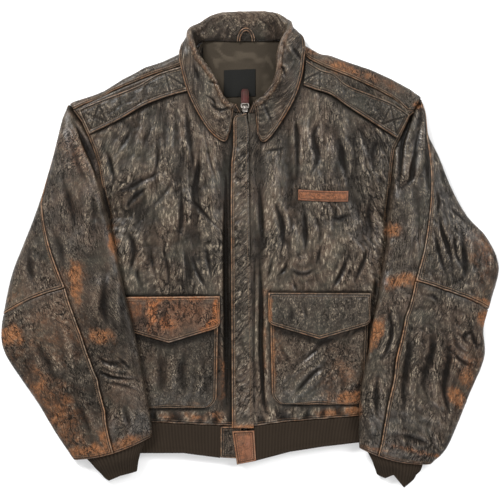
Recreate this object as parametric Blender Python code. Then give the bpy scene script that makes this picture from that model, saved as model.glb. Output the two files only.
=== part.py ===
"""A worn leather flight jacket laid flat on its back, face up.

X runs across the jacket, Y from hem to collar and Z up from the surface it lies on.
Left and right are the wearer's, so the left side lies at +X. Outlines are in millimetres.
"""

import bmesh
import bpy
import numpy as np

MM = 0.001

# Cloth thicknesses and the clearances kept between pieces.
LEATHER = 1.8
COLLAR_LEATHER = 2.2
KNIT = 2.2
SEAM_GAP = 0.4
SLEEVE_GAP = 1.2
SHOULDER_GAP = 0.9
HEM_GAP = 1.0
LAY_GAP = 0.8

# Body: side outline as (Y, distance from the centre) from hem to shoulder tip.
SIDE_RIGHT = [(-338, 231), (-284, 243), (-279, 247), (-180, 266), (-80, 273), (-3, 272), (11, 262), (32, 243),
              (52, 225), (66, 229), (84, 234), (112, 239), (136, 243), (160, 251), (183, 260), (205, 270),
              (227, 284), (240, 292)]
SIDE_LEFT = [(-335, 224), (-272, 236), (-268, 240), (-180, 258), (-80, 264), (-20, 262), (0, 256), (22, 238),
             (46, 219), (66, 222), (84, 224), (107, 226), (132, 228), (161, 232), (184, 243), (215, 257),
             (228, 265), (243, 274)]
HEM_LINE = [(-247, -279), (-160, -276), (-80, -280), (-20, -282), (10, -282), (51, -276), (102, -272),
            (163, -267), (240, -264)]
SHOULDER_FOLD = [(-296, 229), (-284, 236), (-261, 245), (-234, 256), (-204, 275), (-184, 285), (-171, 293),
                 (-140, 303), (-114, 315), (-84, 326), (-72, 341), (0, 341), (50, 341), (64, 333), (90, 328),
                 (113, 315), (129, 313), (155, 303), (194, 290), (227, 275), (260, 257), (277, 241)]
SHOULDER_SEAM_RIGHT = [(-94, 305), (-114, 294), (-160, 279), (-204, 261), (-240, 245), (-276, 228)]
SHOULDER_SEAM_LEFT = [(80, 318), (97, 304), (121, 292), (160, 277), (203, 257), (230, 242), (257, 225)]
NECK_RIGHT = [(-13, 221), (-30, 225), (-54, 240), (-75, 264), (-90, 290), (-94, 306)]
NECK_LEFT = [(-3, 221), (20, 226), (42, 246), (60, 276), (74, 302), (80, 318)]
BACK_NECK_Y = 331
FRONT_EDGE_RIGHT = -13
FRONT_EDGE_LEFT = -3

# Heights of the laid body: top of the front at its side, at the armhole and over its middle.
SIDE_HEIGHT = 5.8
ARMHOLE_HEIGHT = 18.0
UNDERARM_HEIGHT = 9.0
PLATEAU = [(-290, 16.5), (-255, 18), (-200, 23), (-50, 25), (100, 24), (200, 20.5), (330, 19)]
RISE_LENGTH = 46
SHOULDER_ROUND = 9.5
FRONT_STEP = 40
SIDE_CURL = 1.2

# Broad folds of the fronts: start, end, half width and height, a trough where it is negative.
FOLDS = [
    ((-40, 150), (-38, -270), 10, -5.0),
    ((-62, 190), (-66, 20), 16, 2.6),
    ((-96, 150), (-88, -40), 14, -2.8),
    ((-150, 190), (-118, 40), 18, 2.4),
    ((-190, 110), (-150, -30), 16, -2.6),
    ((16, 150), (12, -250), 10, -3.6),
    ((36, 170), (34, -40), 13, 3.0),
    ((62, 190), (70, 30), 14, -2.8),
    ((96, 170), (112, 10), 17, 2.6),
    ((150, 150), (190, 20), 15, -2.4),
    ((120, -20), (178, 60), 15, 2.6),
    ((40, -40), (110, -52), 13, -2.2),
]
HEM_WAVES = 6
HEM_WAVE_HEIGHT = 1.7
HEM_WAVE_REACH = 26

# Sleeves: inner fold and outer fold in the plan, paired from armhole to wrist.
SLEEVE_RIGHT = [
    ((-225, 52), (-292, 234)), ((-223, 36), (-301, 212)), ((-219, 18), (-308, 183)), ((-214, -2), (-317, 146)),
    ((-208, -28), (-330, 101)), ((-201, -58), (-345, 56)), ((-193, -92), (-363, 10)), ((-183, -130), (-381, -36)),
    ((-175, -165), (-392, -84)), ((-170, -198), (-399, -132)), ((-165, -228), (-393, -166)),
    ((-160, -255), (-367, -207)), ((-157, -273), (-341, -245)), ((-156, -286), (-314, -291)),
    ((-158, -299), (-283, -338)),
]
SLEEVE_LEFT = [
    ((219, 46), (275, 243)), ((219, 28), (282, 220)), ((218, 8), (286, 186)), ((214, -16), (303, 150)),
    ((209, -42), (323, 100)), ((204, -74), (348, 55)), ((197, -104), (380, 20)), ((192, -132), (399, -26)),
    ((188, -160), (388, -76)), ((182, -188), (375, -124)), ((177, -216), (376, -172)), ((174, -246), (352, -232)),
    ((174, -272), (334, -278)), ((174, -296), (315, -320)), ((175, -317), (290, -345)),
]
ARMHOLE_RIGHT = [(-width, y) for y, width in SIDE_RIGHT[8:]]
ARMHOLE_LEFT = [(width, y) for y, width in SIDE_LEFT[8:]]
SLEEVE_LOFT = [(0, 19), (0.05, 27), (0.12, 34), (0.35, 38), (0.62, 40), (0.8, 35), (0.93, 28), (1, 22)]
NOSE_SHARE = 0.3
FLAT_SHARE = 0.35
OVER_BODY_SQUASH = 0.3
ARMHOLE_REACH = 0.22
WRIST_BOW = 7
SEAM_WHERE = [(0, 1.0), (0.24, 0.99), (0.34, 0.8), (0.5, 0.62), (0.62, 0.5), (1, 0.47)]
BACK_SEAM = 0.25
SLEEVE_SEAM_TURN = 0.0007
ELBOW_GAP = 0.0007
ELBOW_AT_SEAM = 0.5
ELBOW_AT_FOLD = 0.62

# Knit wrists: rings from inside the leather to the free edge.
CUFF_RIGHT = [((-166, -296), (-270, -329)), ((-171, -314), (-255, -344)), ((-178, -334), (-244, -357)),
              ((-182, -356), (-235, -368))]
CUFF_LEFT = [((182, -313), (280, -337)), ((193, -332), (276, -352)), ((200, -348), (270, -360)),
             ((205, -362), (266, -368))]
CUFF_EDGE_RIGHT = [(0, 0), (0.5, 1), (0.85, 5), (1, -1)]
CUFF_EDGE_LEFT = [(0, 0), (0.2, 4), (0.42, -3), (0.7, 16), (1, 0)]
CUFF_THINS = 4.0

# Collar sections from the wearer's right front round the back: the neck seam as X, Y, Z, the fold as
# seen from above with the height of its roll, the outer edge as X, Y, Z, and how far the leaf goes under.
COLLAR = [
    ((-13, 220, 21.5), (-21, 233, 30), (-32, 190, 25), 0),
    ((-28, 223, 21.5), (-31, 235, 31), (-41, 173, 25), 0),
    ((-48, 235, 21.5), (-43, 248, 32), (-63, 188, 25), 0),
    ((-70, 260, 21.5), (-53, 272, 33), (-85, 221, 25), 0),
    ((-84, 284, 21.5), (-67, 294, 33), (-101, 256, 25), 0),
    ((-90, 302, 21.5), (-79, 310, 32), (-110, 288, 26), 0),
    ((-88, 316, 22), (-84, 321, 34), (-114, 312, 24.5), 0.1),
    ((-83, 329, 18), (-91, 342, 30), (-108, 333, 9), 0.55),
    ((-72, 336, 9), (-80, 360, 18), (-86, 347, 1.3), 1),
    ((-46, 336, 6), (-52, 379, 15), (-48, 346, 1.3), 1),
    ((-8, 336, 6), (-8, 380, 15), (-8, 345, 1.3), 1),
    ((26, 336, 6), (34, 380, 15), (30, 346, 1.3), 1),
    ((46, 338, 9), (57, 368, 18), (64, 352, 1.3), 1),
    ((55, 335, 17), (58, 352, 30), (84, 345, 12), 0.45),
    ((62, 324, 22), (48, 332, 36), (89, 326, 24.5), 0.1),
    ((63, 308, 21.5), (42, 308, 37), (87, 304, 26), 0),
    ((58, 286, 21.5), (41, 286, 37), (84, 280, 25), 0),
    ((50, 262, 21.5), (36, 268, 36), (75, 250, 25), 0),
    ((38, 240, 21.5), (24, 250, 33), (60, 220, 25), 0),
    ((22, 227, 21.5), (14, 241, 35), (36, 184, 25), 0),
    ((8, 221, 21.5), (9, 238, 34), (21, 172, 25), 0),
    ((-3, 220, 21.5), (4, 235, 32), (12, 184, 25), 0),
]
COLLAR_REST = [(0, 300), (60, 306), (80, 324), (120, 326)]
COLLAR_ROUND = 5.0
COLLAR_ROUND_STEPS = 5

# Pieces laid on the fronts.
POCKET_WIDTH = 160
POCKET_TAPER = 5
POCKET_HEIGHT = 176
POCKET_CORNER = 20
POCKET_FLAP_SIDE = 50
POCKET_FLAP_POINT = 74
POCKET_FLAP_CORNER = 9
POCKET_RIGHT_TOP = (-130, -74)
POCKET_LEFT_TOP = (111, -68)
POCKET_TURN_RIGHT = 0.01
POCKET_TURN_LEFT = -0.005
POCKET_BULGE = 1.4
POCKET_STACK = 7.4
FLAP_LIFT = 0.2
WIND_FLAP_LEFT = [(-288, -29), (-120, -30), (80, -31), (140, -30), (165, -27), (196, -27)]
WIND_FLAP_SEAM = [(-288, 6), (-160, 4), (0, 0), (120, -2), (195, -2), (216, -6)]
WIND_FLAP_CORNER = 10
FLAP_TAB = [(-29, -290), (7, -289), (10, -338), (-21, -344)]
FRONT_TAB = [(-47, -284), (-14, -284), (-14, -335), (-45, -333)]
STRAP_THICKNESS = 3.0
STRAP_ARCH = 2.4
NAME_STRIP_SIZE = (80, 17)
NAME_STRIP_AT = (117, 87)
NAME_STRIP_TURN = -0.03
EPAULETTE_RIGHT = [((-116, 292), (-106, 253)), ((-132, 287), (-123, 248)), ((-153, 279), (-147, 240)),
                   ((-176, 265), (-169, 231)), ((-204, 253), (-190, 219)), ((-236, 241), (-211, 207)),
                   ((-275, 225), (-257, 185))]
EPAULETTE_LEFT = [((90, 303), (86, 263)), ((113, 289), (105, 256)), ((133, 282), (129, 248)),
                  ((155, 264), (155, 230)), ((195, 248), (178, 215)), ((227, 235), (206, 197)),
                  ((256, 216), (236, 178))]

# Waistband knit.
WAIST_SIDE_RIGHT = (243, 232)
WAIST_SIDE_LEFT = (236, 225)
WAIST_END_RIGHT = -48
WAIST_END_LEFT = -2
WAIST_THIN = 1.0
WAIST_BOTTOM = [(-231, -327), (-107, -326), (-46, -334), (10, -338), (64, -324), (115, -316), (168, -310),
                (224, -306)]
WAIST_FOLD_ROUND = 2.9

# Neck inside: lining, label and hanger loop.
LINING_SIZE = ((-74, 50), (205, 330))
LABEL_BOX = ((-42, 9), (246, 290))
LINING_BASE = 2.4
LINING_THICKNESS = 1.2
LABEL_THICKNESS = 0.8
LOOP_CENTRE = (-6.5, 336)
LOOP_WIDTH = 24
LOOP_HEIGHT = 21
LOOP_STRAP = 5
LOOP_LIFT = 1.4
LOOP_THICKNESS = 1.6

# Zip: tape under both fronts, slider at its top, and a leather pull on a steel link.
ZIP_X = -8
ZIP_TAPE_WIDTH = 26
ZIP_TOP = 223
ZIP_BOTTOM = -335
ZIP_TAPE_THICKNESS = 1.0
SLIDER_SIZE = (9, 10, 4.6)
SLIDER_Y = 226
PIVOT = (-8, 227.0, 24.0)
BRIDGE_ROUND = 2.1
BRIDGE_WIRE = 0.6
LINK_WIDTH = 12
LINK_WIRE = 1.0
LINK_LENGTH = 8
PULL_WIDTH = 12
PULL_LENGTH = 28
PULL_THICKNESS = 2.2
PULL_DROP_DEG = 27

COLOURS = {
    "leather": ((0.055, 0.042, 0.032, 1), 0.45, 0.0),
    "worn_leather": ((0.42, 0.17, 0.07, 1), 0.55, 0.0),
    "knit": ((0.045, 0.038, 0.03, 1), 0.95, 0.0),
    "lining": ((0.09, 0.075, 0.055, 1), 0.9, 0.0),
    "label": ((0.02, 0.02, 0.02, 1), 0.8, 0.0),
    "zip_tape": ((0.03, 0.028, 0.025, 1), 0.9, 0.0),
    "steel": ((0.45, 0.42, 0.4, 1), 0.35, 1.0),
    "pull_leather": ((0.16, 0.045, 0.035, 1), 0.5, 0.0),
}


def material(name):
    """The named Principled material, made once."""
    found = bpy.data.materials.get(name)
    if found:
        return found
    colour, roughness, metallic = COLOURS[name]
    made = bpy.data.materials.new(name)
    made.use_nodes = True
    shader = made.node_tree.nodes["Principled BSDF"]
    shader.inputs["Base Color"].default_value = colour
    shader.inputs["Roughness"].default_value = roughness
    shader.inputs["Metallic"].default_value = metallic
    made.diffuse_color = colour
    return made


def add_object(name, mesh, material_name):
    """Puts a mesh into the scene as one named, smooth-shaded piece."""
    piece = bpy.data.objects.new(name, mesh)
    bpy.context.scene.collection.objects.link(piece)
    mesh.materials.append(material(material_name))
    mesh.shade_smooth()
    mesh.set_sharp_from_angle(angle=0.7)
    return piece


def closed_mesh(name, points, faces):
    """A mesh in metres with its doubles merged and its faces turned outward."""
    mesh = bpy.data.meshes.new(name)
    mesh.from_pydata([tuple(p) for p in points * MM], [], faces)
    work = bmesh.new()
    work.from_mesh(mesh)
    bmesh.ops.remove_doubles(work, verts=work.verts, dist=2e-6)
    bmesh.ops.triangulate(work, faces=work.faces)
    bmesh.ops.recalc_face_normals(work, faces=work.faces)
    work.to_mesh(mesh)
    work.free()
    return mesh


def wall(name, outer, inner, material_name, around=False):
    """A closed cloth wall between two grids of points; `around` joins the last row to the first."""
    rows, columns = outer.shape[:2]
    index = np.arange(rows * columns).reshape(rows, columns)
    count = rows * columns
    if around:
        index = np.vstack([index, index[:1]])
    a, b, c, d = index[:-1, :-1], index[1:, :-1], index[1:, 1:], index[:-1, 1:]
    skin = np.stack([a, b, c, d], -1).reshape(-1, 4)
    faces = [skin, skin[:, ::-1] + count]
    rims = [index[:, 0], index[::-1, -1]]
    if not around:
        rims += [index[0, ::-1], index[-1, :]]
    for rim in rims:
        faces.append(np.stack([rim[:-1], rim[:-1] + count, rim[1:] + count, rim[1:]], -1))
    points = np.concatenate([outer.reshape(-1, 3), inner.reshape(-1, 3)])
    mesh = closed_mesh(name, points, np.concatenate(faces).tolist())
    return add_object(name, mesh, material_name)


def along(table, at):
    """Straight-line reading of a table of (place, value) pairs."""
    places, values = zip(*table)
    return np.interp(at, places, values)


def smooth(t):
    """The soft step from 0 to 1."""
    t = np.clip(t, 0, 1)
    return t * t * (3 - 2 * t)


def curve(points, at):
    """A Catmull-Rom curve through evenly numbered points, read at parameters from 0 to 1."""
    knots = np.asarray(points, float)
    knots = np.vstack([2 * knots[0] - knots[1], knots, 2 * knots[-1] - knots[-2]])
    place = np.clip(at, 0, 1) * (len(knots) - 3)
    first = np.minimum(place.astype(int), len(knots) - 4)
    t = (place - first)[..., None]
    p0, p1, p2, p3 = (knots[first + k] for k in range(4))
    return 0.5 * (2 * p1 + (p2 - p0) * t + (2 * p0 - 5 * p1 + 4 * p2 - p3) * t**2
                  + (3 * p1 - p0 - 3 * p2 + p3) * t**3)


def by_length(points, at):
    """A curve through points, read at shares of its length."""
    fine = curve(points, np.linspace(0, 1, 400))
    run = np.concatenate([[0], np.cumsum(np.linalg.norm(np.diff(fine, axis=0), axis=1))])
    return np.stack([np.interp(at, run / run[-1], fine[:, k]) for k in range(fine.shape[1])], -1)


def straight_run(points, at):
    """A line of straight pieces, read at shares of its length."""
    knots = np.asarray(points, float)
    run = np.concatenate([[0], np.cumsum(np.linalg.norm(np.diff(knots, axis=0), axis=1))])
    return np.stack([np.interp(at, run / run[-1], knots[:, k]) for k in range(knots.shape[1])], -1)


def stack(x, y, z):
    """Three arrays as one grid of points."""
    return np.stack(np.broadcast_arrays(x, y, z), -1).astype(float)


def side_distance(x, y):
    """How far a plan point lies inside the body's side outline, negative outside it."""
    right = along(SIDE_RIGHT, y) + x
    left = along(SIDE_LEFT, y) - x
    return np.where(x < 0, right, left)


def edge_height(y):
    """Height of the front's top face along its side: low at the side seam, high at the armhole."""
    under = smooth((y + 10) / 65)
    over = smooth((y - 55) / 60)
    return SIDE_HEIGHT + (UNDERARM_HEIGHT - SIDE_HEIGHT) * under + (ARMHOLE_HEIGHT - UNDERARM_HEIGHT) * over


def fold_height(x, y):
    """Sum of the broad folds, each a soft ridge or trough that fades at its ends."""
    total = np.zeros(np.broadcast(x, y).shape)
    for (x0, y0), (x1, y1), width, height in FOLDS:
        run = np.array([x1 - x0, y1 - y0], float)
        length = np.hypot(*run)
        share = ((x - x0) * run[0] + (y - y0) * run[1]) / length**2
        off = ((x - x0) * run[1] - (y - y0) * run[0]) / length
        fade = smooth((share + 0.12) / 0.3) * smooth((1.12 - share) / 0.3)
        total = total + height * fade * np.exp(-((off / width) ** 2))
    return total


def hem_waves(x, y):
    """Gathers of the leather where it is drawn on to the waistband knit."""
    reach = np.exp(-(((y - along(HEM_LINE, x)) / HEM_WAVE_REACH) ** 2))
    away = smooth((np.abs(x - ZIP_X) - 25) / 25)
    return HEM_WAVE_HEIGHT * reach * away * np.sin(np.abs(x) * HEM_WAVES * 2 * np.pi / 220)


def front_height(x, y):
    """Height of the front's top face over any plan point of the laid body."""
    inside = np.maximum(side_distance(x, y), 0)
    edge = edge_height(y)
    rise = 1 - np.exp(-((inside / RISE_LENGTH) ** 1.15))
    base = edge + (along(PLATEAU, y) - edge) * rise
    return base + (fold_height(x, y) + hem_waves(x, y)) * smooth(inside / 60)


def sleeve_floor(x, y):
    """Height of what a sleeve lies on: the surface, or the body's side once it has climbed on to it."""
    distance = side_distance(x, y)
    climb = smooth((distance + 38) / 38) * (1 - smooth((y - 78) / 30))
    beside = (edge_height(y) + LAY_GAP) * climb
    pocket = smooth((np.abs(x) - 20) / 20) * smooth((y + 290) / 30) * smooth((-30 - y) / 30)
    over = front_height(x, y) + LAY_GAP + POCKET_STACK * pocket * smooth(distance / 40)
    past_hem = smooth((y + 374) / 42)
    return np.where(distance > 0, over, beside) * past_hem


def coons(bottom, top, start, end, up):
    """Plan grid filled between four edges, given as point lists that meet at the corners."""
    u = np.linspace(0, 1, len(bottom))[:, None, None]
    v = up[None, :, None]
    ruled = (1 - v) * bottom[:, None] + v * top[:, None] + (1 - u) * start[None] + u * end[None]
    corners = ((1 - u) * (1 - v) * bottom[0] + u * (1 - v) * bottom[-1]
               + (1 - u) * v * top[0] + u * v * top[-1])
    return ruled - corners


def front_plan(side, columns):
    """Plan grid of one front, from the zip to the side and from the hem to neck and shoulder."""
    right = side == "right"
    sign = -1 if right else 1
    outline = SIDE_RIGHT if right else SIDE_LEFT
    neck, seam = (NECK_RIGHT, SHOULDER_SEAM_RIGHT) if right else (NECK_LEFT, SHOULDER_SEAM_LEFT)
    edge_x = FRONT_EDGE_RIGHT if right else FRONT_EDGE_LEFT
    across = np.linspace(0, 1, columns)
    hem_y = along(HEM_LINE, edge_x)
    side_foot = outline[2]
    hem_x = edge_x + (sign * (side_foot[1] - SEAM_GAP) - edge_x) * across
    bottom = np.stack([hem_x, along(HEM_LINE, hem_x)], -1)
    top = straight_run(neck + seam[1:], across) - (0, SHOULDER_GAP)
    top[-1] -= (sign * SEAM_GAP, 0)
    side_line = [(sign * (width - SEAM_GAP), y) for y, width in outline[3:-2]]
    end = [bottom[-1]]
    for knot in side_line + [tuple(top[-1])]:
        steps = int(np.hypot(*(np.array(knot) - end[-1])) // FRONT_STEP) + 1
        end.extend(np.linspace(end[-1], knot, steps + 1)[1:])
    end = np.array(end)
    run = np.concatenate([[0], np.cumsum(np.linalg.norm(np.diff(end, axis=0), axis=1))])
    up = run / run[-1]
    start = np.stack([np.full(len(up), edge_x), hem_y + (top[0][1] - hem_y) * up], -1)
    return coons(bottom, top, start, end, up)


def make_front(side):
    """One front panel, a wall on the laid body's height."""
    plan = front_plan(side, 17)
    x, y = plan[..., 0], plan[..., 1]
    z = front_height(x, y)
    wall(f"front_{side}", stack(x, y, z), stack(x, y, z - LEATHER), "leather")


def back_surface(columns_at, shares):
    """Outer face of the back: along the surface from the hem, then round the shoulder to its seam."""
    share_across = ((columns_at - columns_at[0]) / (columns_at[-1] - columns_at[0]))[:, None]
    x_top = columns_at[:, None]
    for _ in range(6):
        fold_y = np.interp(x_top, *zip(*SHOULDER_FOLD))
        right = -along(SIDE_RIGHT, fold_y - SHOULDER_ROUND) + SEAM_GAP
        left = along(SIDE_LEFT, fold_y - SHOULDER_ROUND) - SEAM_GAP
        x_top = right + (left - right) * share_across
    hem_y = along(HEM_LINE, -SIDE_RIGHT[2][1] + (SIDE_RIGHT[2][1] + SIDE_LEFT[2][1]) * share_across)
    straight = fold_y - SHOULDER_ROUND - hem_y
    seam_right = np.interp(-x_top, *zip(*[(-x, y) for x, y in SHOULDER_SEAM_RIGHT]))
    seam_left = np.interp(x_top, *zip(*SHOULDER_SEAM_LEFT))
    seam_y = np.where(x_top < 0, seam_right, seam_left)
    arc = np.pi * SHOULDER_ROUND
    full = straight + arc + np.maximum(fold_y - SHOULDER_ROUND - seam_y - SEAM_GAP, 0.5)
    neck_share = np.where(x_top < 0, smooth((x_top + 98) / 34), smooth((88 - x_top) / 36))
    length = full + (BACK_NECK_Y - hem_y - full) * neck_share
    run = shares[None, :] * length
    angle = np.clip((run - straight) / SHOULDER_ROUND, 0, np.pi)
    over = np.maximum(run - straight - arc, 0)
    y = hem_y + np.minimum(run, straight) + SHOULDER_ROUND * np.sin(angle) - over
    z = SHOULDER_ROUND * (1 - np.cos(angle))
    y_floor = hem_y + np.minimum(run, straight)
    right = -along(SIDE_RIGHT, y_floor) + SEAM_GAP
    left = along(SIDE_LEFT, y_floor) - SEAM_GAP
    x = right + (left - right) * share_across
    beside = np.minimum(share_across, 1 - share_across) * (left - right)
    low = 1 - smooth((y - 40) / 40)
    z = z + SIDE_CURL * (1 - smooth(beside / 14)) * low * (angle == 0)
    return stack(x, y, z), angle


def make_back():
    """The one-piece back, its underside flat, wrapped over both shoulders to the front."""
    columns_at = np.array([-292, -262, -230, -196, -162, -128, -108, -97, -89, -81, -73, -64, -30, 16, 54, 62, 70, 78,
                           87, 110, 146, 180, 214, 246, 275], float)
    shares = np.concatenate([np.linspace(0, 0.55, 5), np.linspace(0.6, 0.9, 8), np.linspace(0.92, 1, 6)])
    outer, angle = back_surface(columns_at, shares)
    along_arc = np.stack([np.zeros_like(angle), -np.sin(angle), np.cos(angle)], -1)
    wall("back", outer, outer + along_arc * LEATHER, "leather")


def sleeve_plan(side, s, w):
    """Plan place on a sleeve: s from armhole to wrist, w from the inner fold to the outer fold."""
    pairs, armhole = (SLEEVE_RIGHT, ARMHOLE_RIGHT) if side == "right" else (SLEEVE_LEFT, ARMHOLE_LEFT)
    inner_fold = curve([p[0] for p in pairs], s)
    outer_fold = curve([p[1] for p in pairs], s)
    w = w[..., None]
    plan = inner_fold + (outer_fold - inner_fold) * w
    first, last = np.array(armhole[0], float), np.array(armhole[-1], float)
    hug = straight_run(armhole, w[..., 0]) - (first + (last - first) * w)
    plan = plan + hug * (1 - smooth(s / ARMHOLE_REACH))[..., None]
    outward = np.array([-1.0, -0.2]) if side == "right" else np.array([1.0, -0.2])
    plan = plan + outward * SLEEVE_GAP * (1 - smooth(s / 0.05))[..., None]
    plan[..., 1] -= WRIST_BOW * np.sin(np.pi * w[..., 0]) * smooth((s - 0.85) / 0.15)
    return plan


def tube_height(loft, t, above):
    """Height over its base of a flattened tube's face: t from one fold to the other."""
    nose = NOSE_SHARE * loft
    reach = np.sin(np.pi * t)
    top = nose + (loft - nose) * reach**0.75
    low = nose * (1 - np.sin(np.pi / 2 * np.minimum(1, reach / FLAT_SHARE)) ** 0.75)
    return np.where(above, top, low)


def sleeve_surface(side, s, q, depth=0.0):
    """Face of a sleeve: q runs from the inner fold over the top to the outer fold and back below."""
    q = np.mod(q, 1.0)
    t = np.where(q < 0.5, 2 * q, 2 - 2 * q)
    inset = depth / 140
    w = inset + (1 - 2 * inset) * (1 - np.cos(np.pi * t)) / 2
    plan = sleeve_plan(side, s, w)
    under = sleeve_floor(plan[..., 0], plan[..., 1])
    loft = along(SLEEVE_LOFT, s) * (1 - OVER_BODY_SQUASH * np.clip(under / 20, 0, 1))
    height = tube_height(loft, t, q < 0.5)
    return stack(plan[..., 0], plan[..., 1], under + depth + height * (loft - 2 * depth) / loft)


def grid_normals(points, facing):
    """Unit normals of a grid, all turned to the side that `facing`, a sign, says."""
    along_rows = np.gradient(points, axis=0)
    along_columns = np.gradient(points, axis=1)
    normals = np.cross(along_rows, along_columns)
    normals /= np.maximum(np.linalg.norm(normals, axis=-1, keepdims=True), 1e-9)
    return normals * facing


def make_sleeve_panel(name, side, s_grid, q_grid):
    """A sleeve panel: a wall on the sleeve's face over a stretch of s and q."""
    outer = sleeve_surface(side, s_grid, q_grid)
    inner = sleeve_surface(side, s_grid, q_grid, LEATHER)
    wall(name, outer, inner, "leather")


def top_share(w):
    """The q of a place on a sleeve's top at share w from the inner to the outer fold."""
    return np.arccos(1 - 2 * w) / np.pi / 2


def make_sleeve(side):
    """A sleeve in three panels: the under panel round the inner fold, and two round the outer fold."""
    back_q = 0.5 + BACK_SEAM
    run = {"upper": np.linspace(0, 1, 11)[:, None], "lower": np.linspace(0, 1, 10)[:, None]}
    at_seam, at_back = ELBOW_AT_SEAM, ELBOW_AT_FOLD
    s_seam = np.vstack([at_seam * run["upper"], at_seam + (1 - at_seam) * run["lower"][1:]])
    s_back = np.vstack([at_back * run["upper"], at_back + (1 - at_back) * run["lower"][1:]])
    turn = np.linspace(0, 1, 13)[None, :]
    start = back_q + SLEEVE_SEAM_TURN - 1
    end = top_share(along(SEAM_WHERE, s_seam)) - SLEEVE_SEAM_TURN
    make_sleeve_panel(f"sleeve_{side}_inner", side, s_back + (s_seam - s_back) * turn, start + (end - start) * turn)
    turn = np.linspace(0, 1, 11)[None, :]
    elbow = at_seam + (at_back - at_seam) * smooth(turn * 1.6)
    for part in ("upper", "lower"):
        if part == "upper":
            s_grid = (elbow - ELBOW_GAP) * run[part]
        else:
            s_grid = elbow + ELBOW_GAP + (1 - elbow - ELBOW_GAP) * run[part]
        start = top_share(along(SEAM_WHERE, s_grid)) + SLEEVE_SEAM_TURN
        end = back_q - SLEEVE_SEAM_TURN
        make_sleeve_panel(f"sleeve_{side}_{part}", side, s_grid, start + (end - start) * turn)


def cuff_surface(side, s, q, depth=0.0):
    """Face of a knit wrist: it leaves the leather level with it and thins to its free edge."""
    pairs, edge = (CUFF_RIGHT, CUFF_EDGE_RIGHT) if side == "right" else (CUFF_LEFT, CUFF_EDGE_LEFT)
    t = np.where(q < 0.5, 2 * q, 2 - 2 * q)
    inset = depth / 90
    w = inset + (1 - 2 * inset) * (1 - np.cos(np.pi * t)) / 2 + 0 * s
    inner_fold = curve([p[0] for p in pairs], s + 0 * q)
    outer_fold = curve([p[1] for p in pairs], s + 0 * q)
    plan = inner_fold + (outer_fold - inner_fold) * w[..., None]
    plan[..., 1] -= along(edge, w) * smooth(s)
    under = sleeve_floor(plan[..., 0], plan[..., 1])
    tuck = (LEATHER + 2 * SEAM_GAP) * (1 - smooth((s - 0.45) / 0.4))
    sleeve_loft = SLEEVE_LOFT[-1][1] * (1 - OVER_BODY_SQUASH * np.clip(under / 20, 0, 1))
    loft = sleeve_loft - 2 * (LEATHER + 2 * SEAM_GAP) - CUFF_THINS * smooth((s - 0.4) / 0.6)
    height = tube_height(loft, t, q < 0.5)
    return stack(plan[..., 0], plan[..., 1], under + tuck + depth + height * (loft - 2 * depth) / loft)


def make_cuff(side):
    """A knit wrist, a flattened tube that starts inside the leather and ends at a wavy free edge."""
    s = np.linspace(0, 1, 7)[None, :]
    q = np.linspace(0, 1, 19)[:-1, None]
    wall(f"cuff_{side}", cuff_surface(side, s, q), cuff_surface(side, s, q, KNIT), "knit", around=True)


def unit(vector):
    """The vector at length one."""
    return vector / np.linalg.norm(vector)


def square_to(vector, direction):
    """The unit part of a vector that is square to a unit direction."""
    return unit(vector - vector.dot(direction) * direction)


def collar_section(seam, fold, edge, under):
    """One section of the collar, outer and inner points: up the stand, round the fold, over the leaf."""
    up = np.array([0.0, 0.0, 1.0])
    level = np.array([1.0, 1.0, 0.0])
    across = unit((edge - seam) * level)
    away = unit((fold - seam) * level)
    top = fold[2]
    r = COLLAR_ROUND + (0.5 * (top - edge[2]) - COLLAR_ROUND) * under
    centre = fold * level + across * r * (1 - under) - away * r * under
    centre[2] = top - r
    to_leaf = unit(across * (1 - under) - up * under)
    out = unit(up * (1 - under) + away * under)
    angles = np.linspace(-np.pi / 2, np.pi / 2, COLLAR_ROUND_STEPS)
    turns = [out * np.cos(a) + to_leaf * np.sin(a) for a in angles]
    stand_end = centre + turns[0] * r
    leaf_start = centre + turns[-1] * r
    stand_in = square_to(to_leaf, unit(stand_end - seam))
    leaf_out = square_to(to_leaf + out, unit(edge - leaf_start))
    outer = [seam, (seam + stand_end) / 2] + [centre + turn * r for turn in turns]
    inner = [seam + stand_in * COLLAR_LEATHER, (seam + stand_end) / 2 + stand_in * COLLAR_LEATHER]
    inner += [centre + turn * (r - COLLAR_LEATHER) for turn in turns]
    for share in (1 / 3, 2 / 3, 1):
        point = leaf_start + (edge - leaf_start) * share
        outer.append(point)
        inner.append(point - leaf_out * COLLAR_LEATHER)
    return outer, inner


def make_collar():
    """The collar, a folded wall carried round the neck through its sections."""
    at = np.linspace(0, 1, 31)
    keys = [curve([np.append(row[k], row[3]) for row in COLLAR], at) for k in range(3)]
    sections = []
    for seam, fold, edge in zip(*keys):
        sections.append(collar_section(seam[:3], fold[:3], edge[:3], np.clip(seam[3], 0, 1)))
    outer = np.array([section[0] for section in sections])
    inner = np.array([section[1] for section in sections])
    x, y = inner[..., 0], inner[..., 1]
    ground = np.maximum(front_height(x, y), 2 * SHOULDER_ROUND) + LAY_GAP
    over_front = smooth((along(COLLAR_REST, np.abs(x + 10)) - y) / 12)
    low = np.minimum(inner[..., 2], outer[..., 2])
    lift = np.maximum(ground - low, 0) * over_front
    outer[..., 2] += lift
    inner[..., 2] += lift
    wall("collar", outer, inner, "leather")
    return outer


def rounded_pocket(width, height, taper, corner, rows, columns):
    """Plan grid of a pocket: top edge straight, sides drawn in, lower corners round."""
    up = np.linspace(0, 1, rows)[None, :]
    across = np.linspace(-1, 1, columns)[:, None]
    y = -height * (1 - up)
    half = width / 2 - taper * (1 - up)
    rise = np.maximum(corner + (-height - y), 0) / corner
    half = half - corner * (1 - np.sqrt(np.maximum(1 - rise**2, 0)))
    return across * half, y + 0 * across


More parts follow.
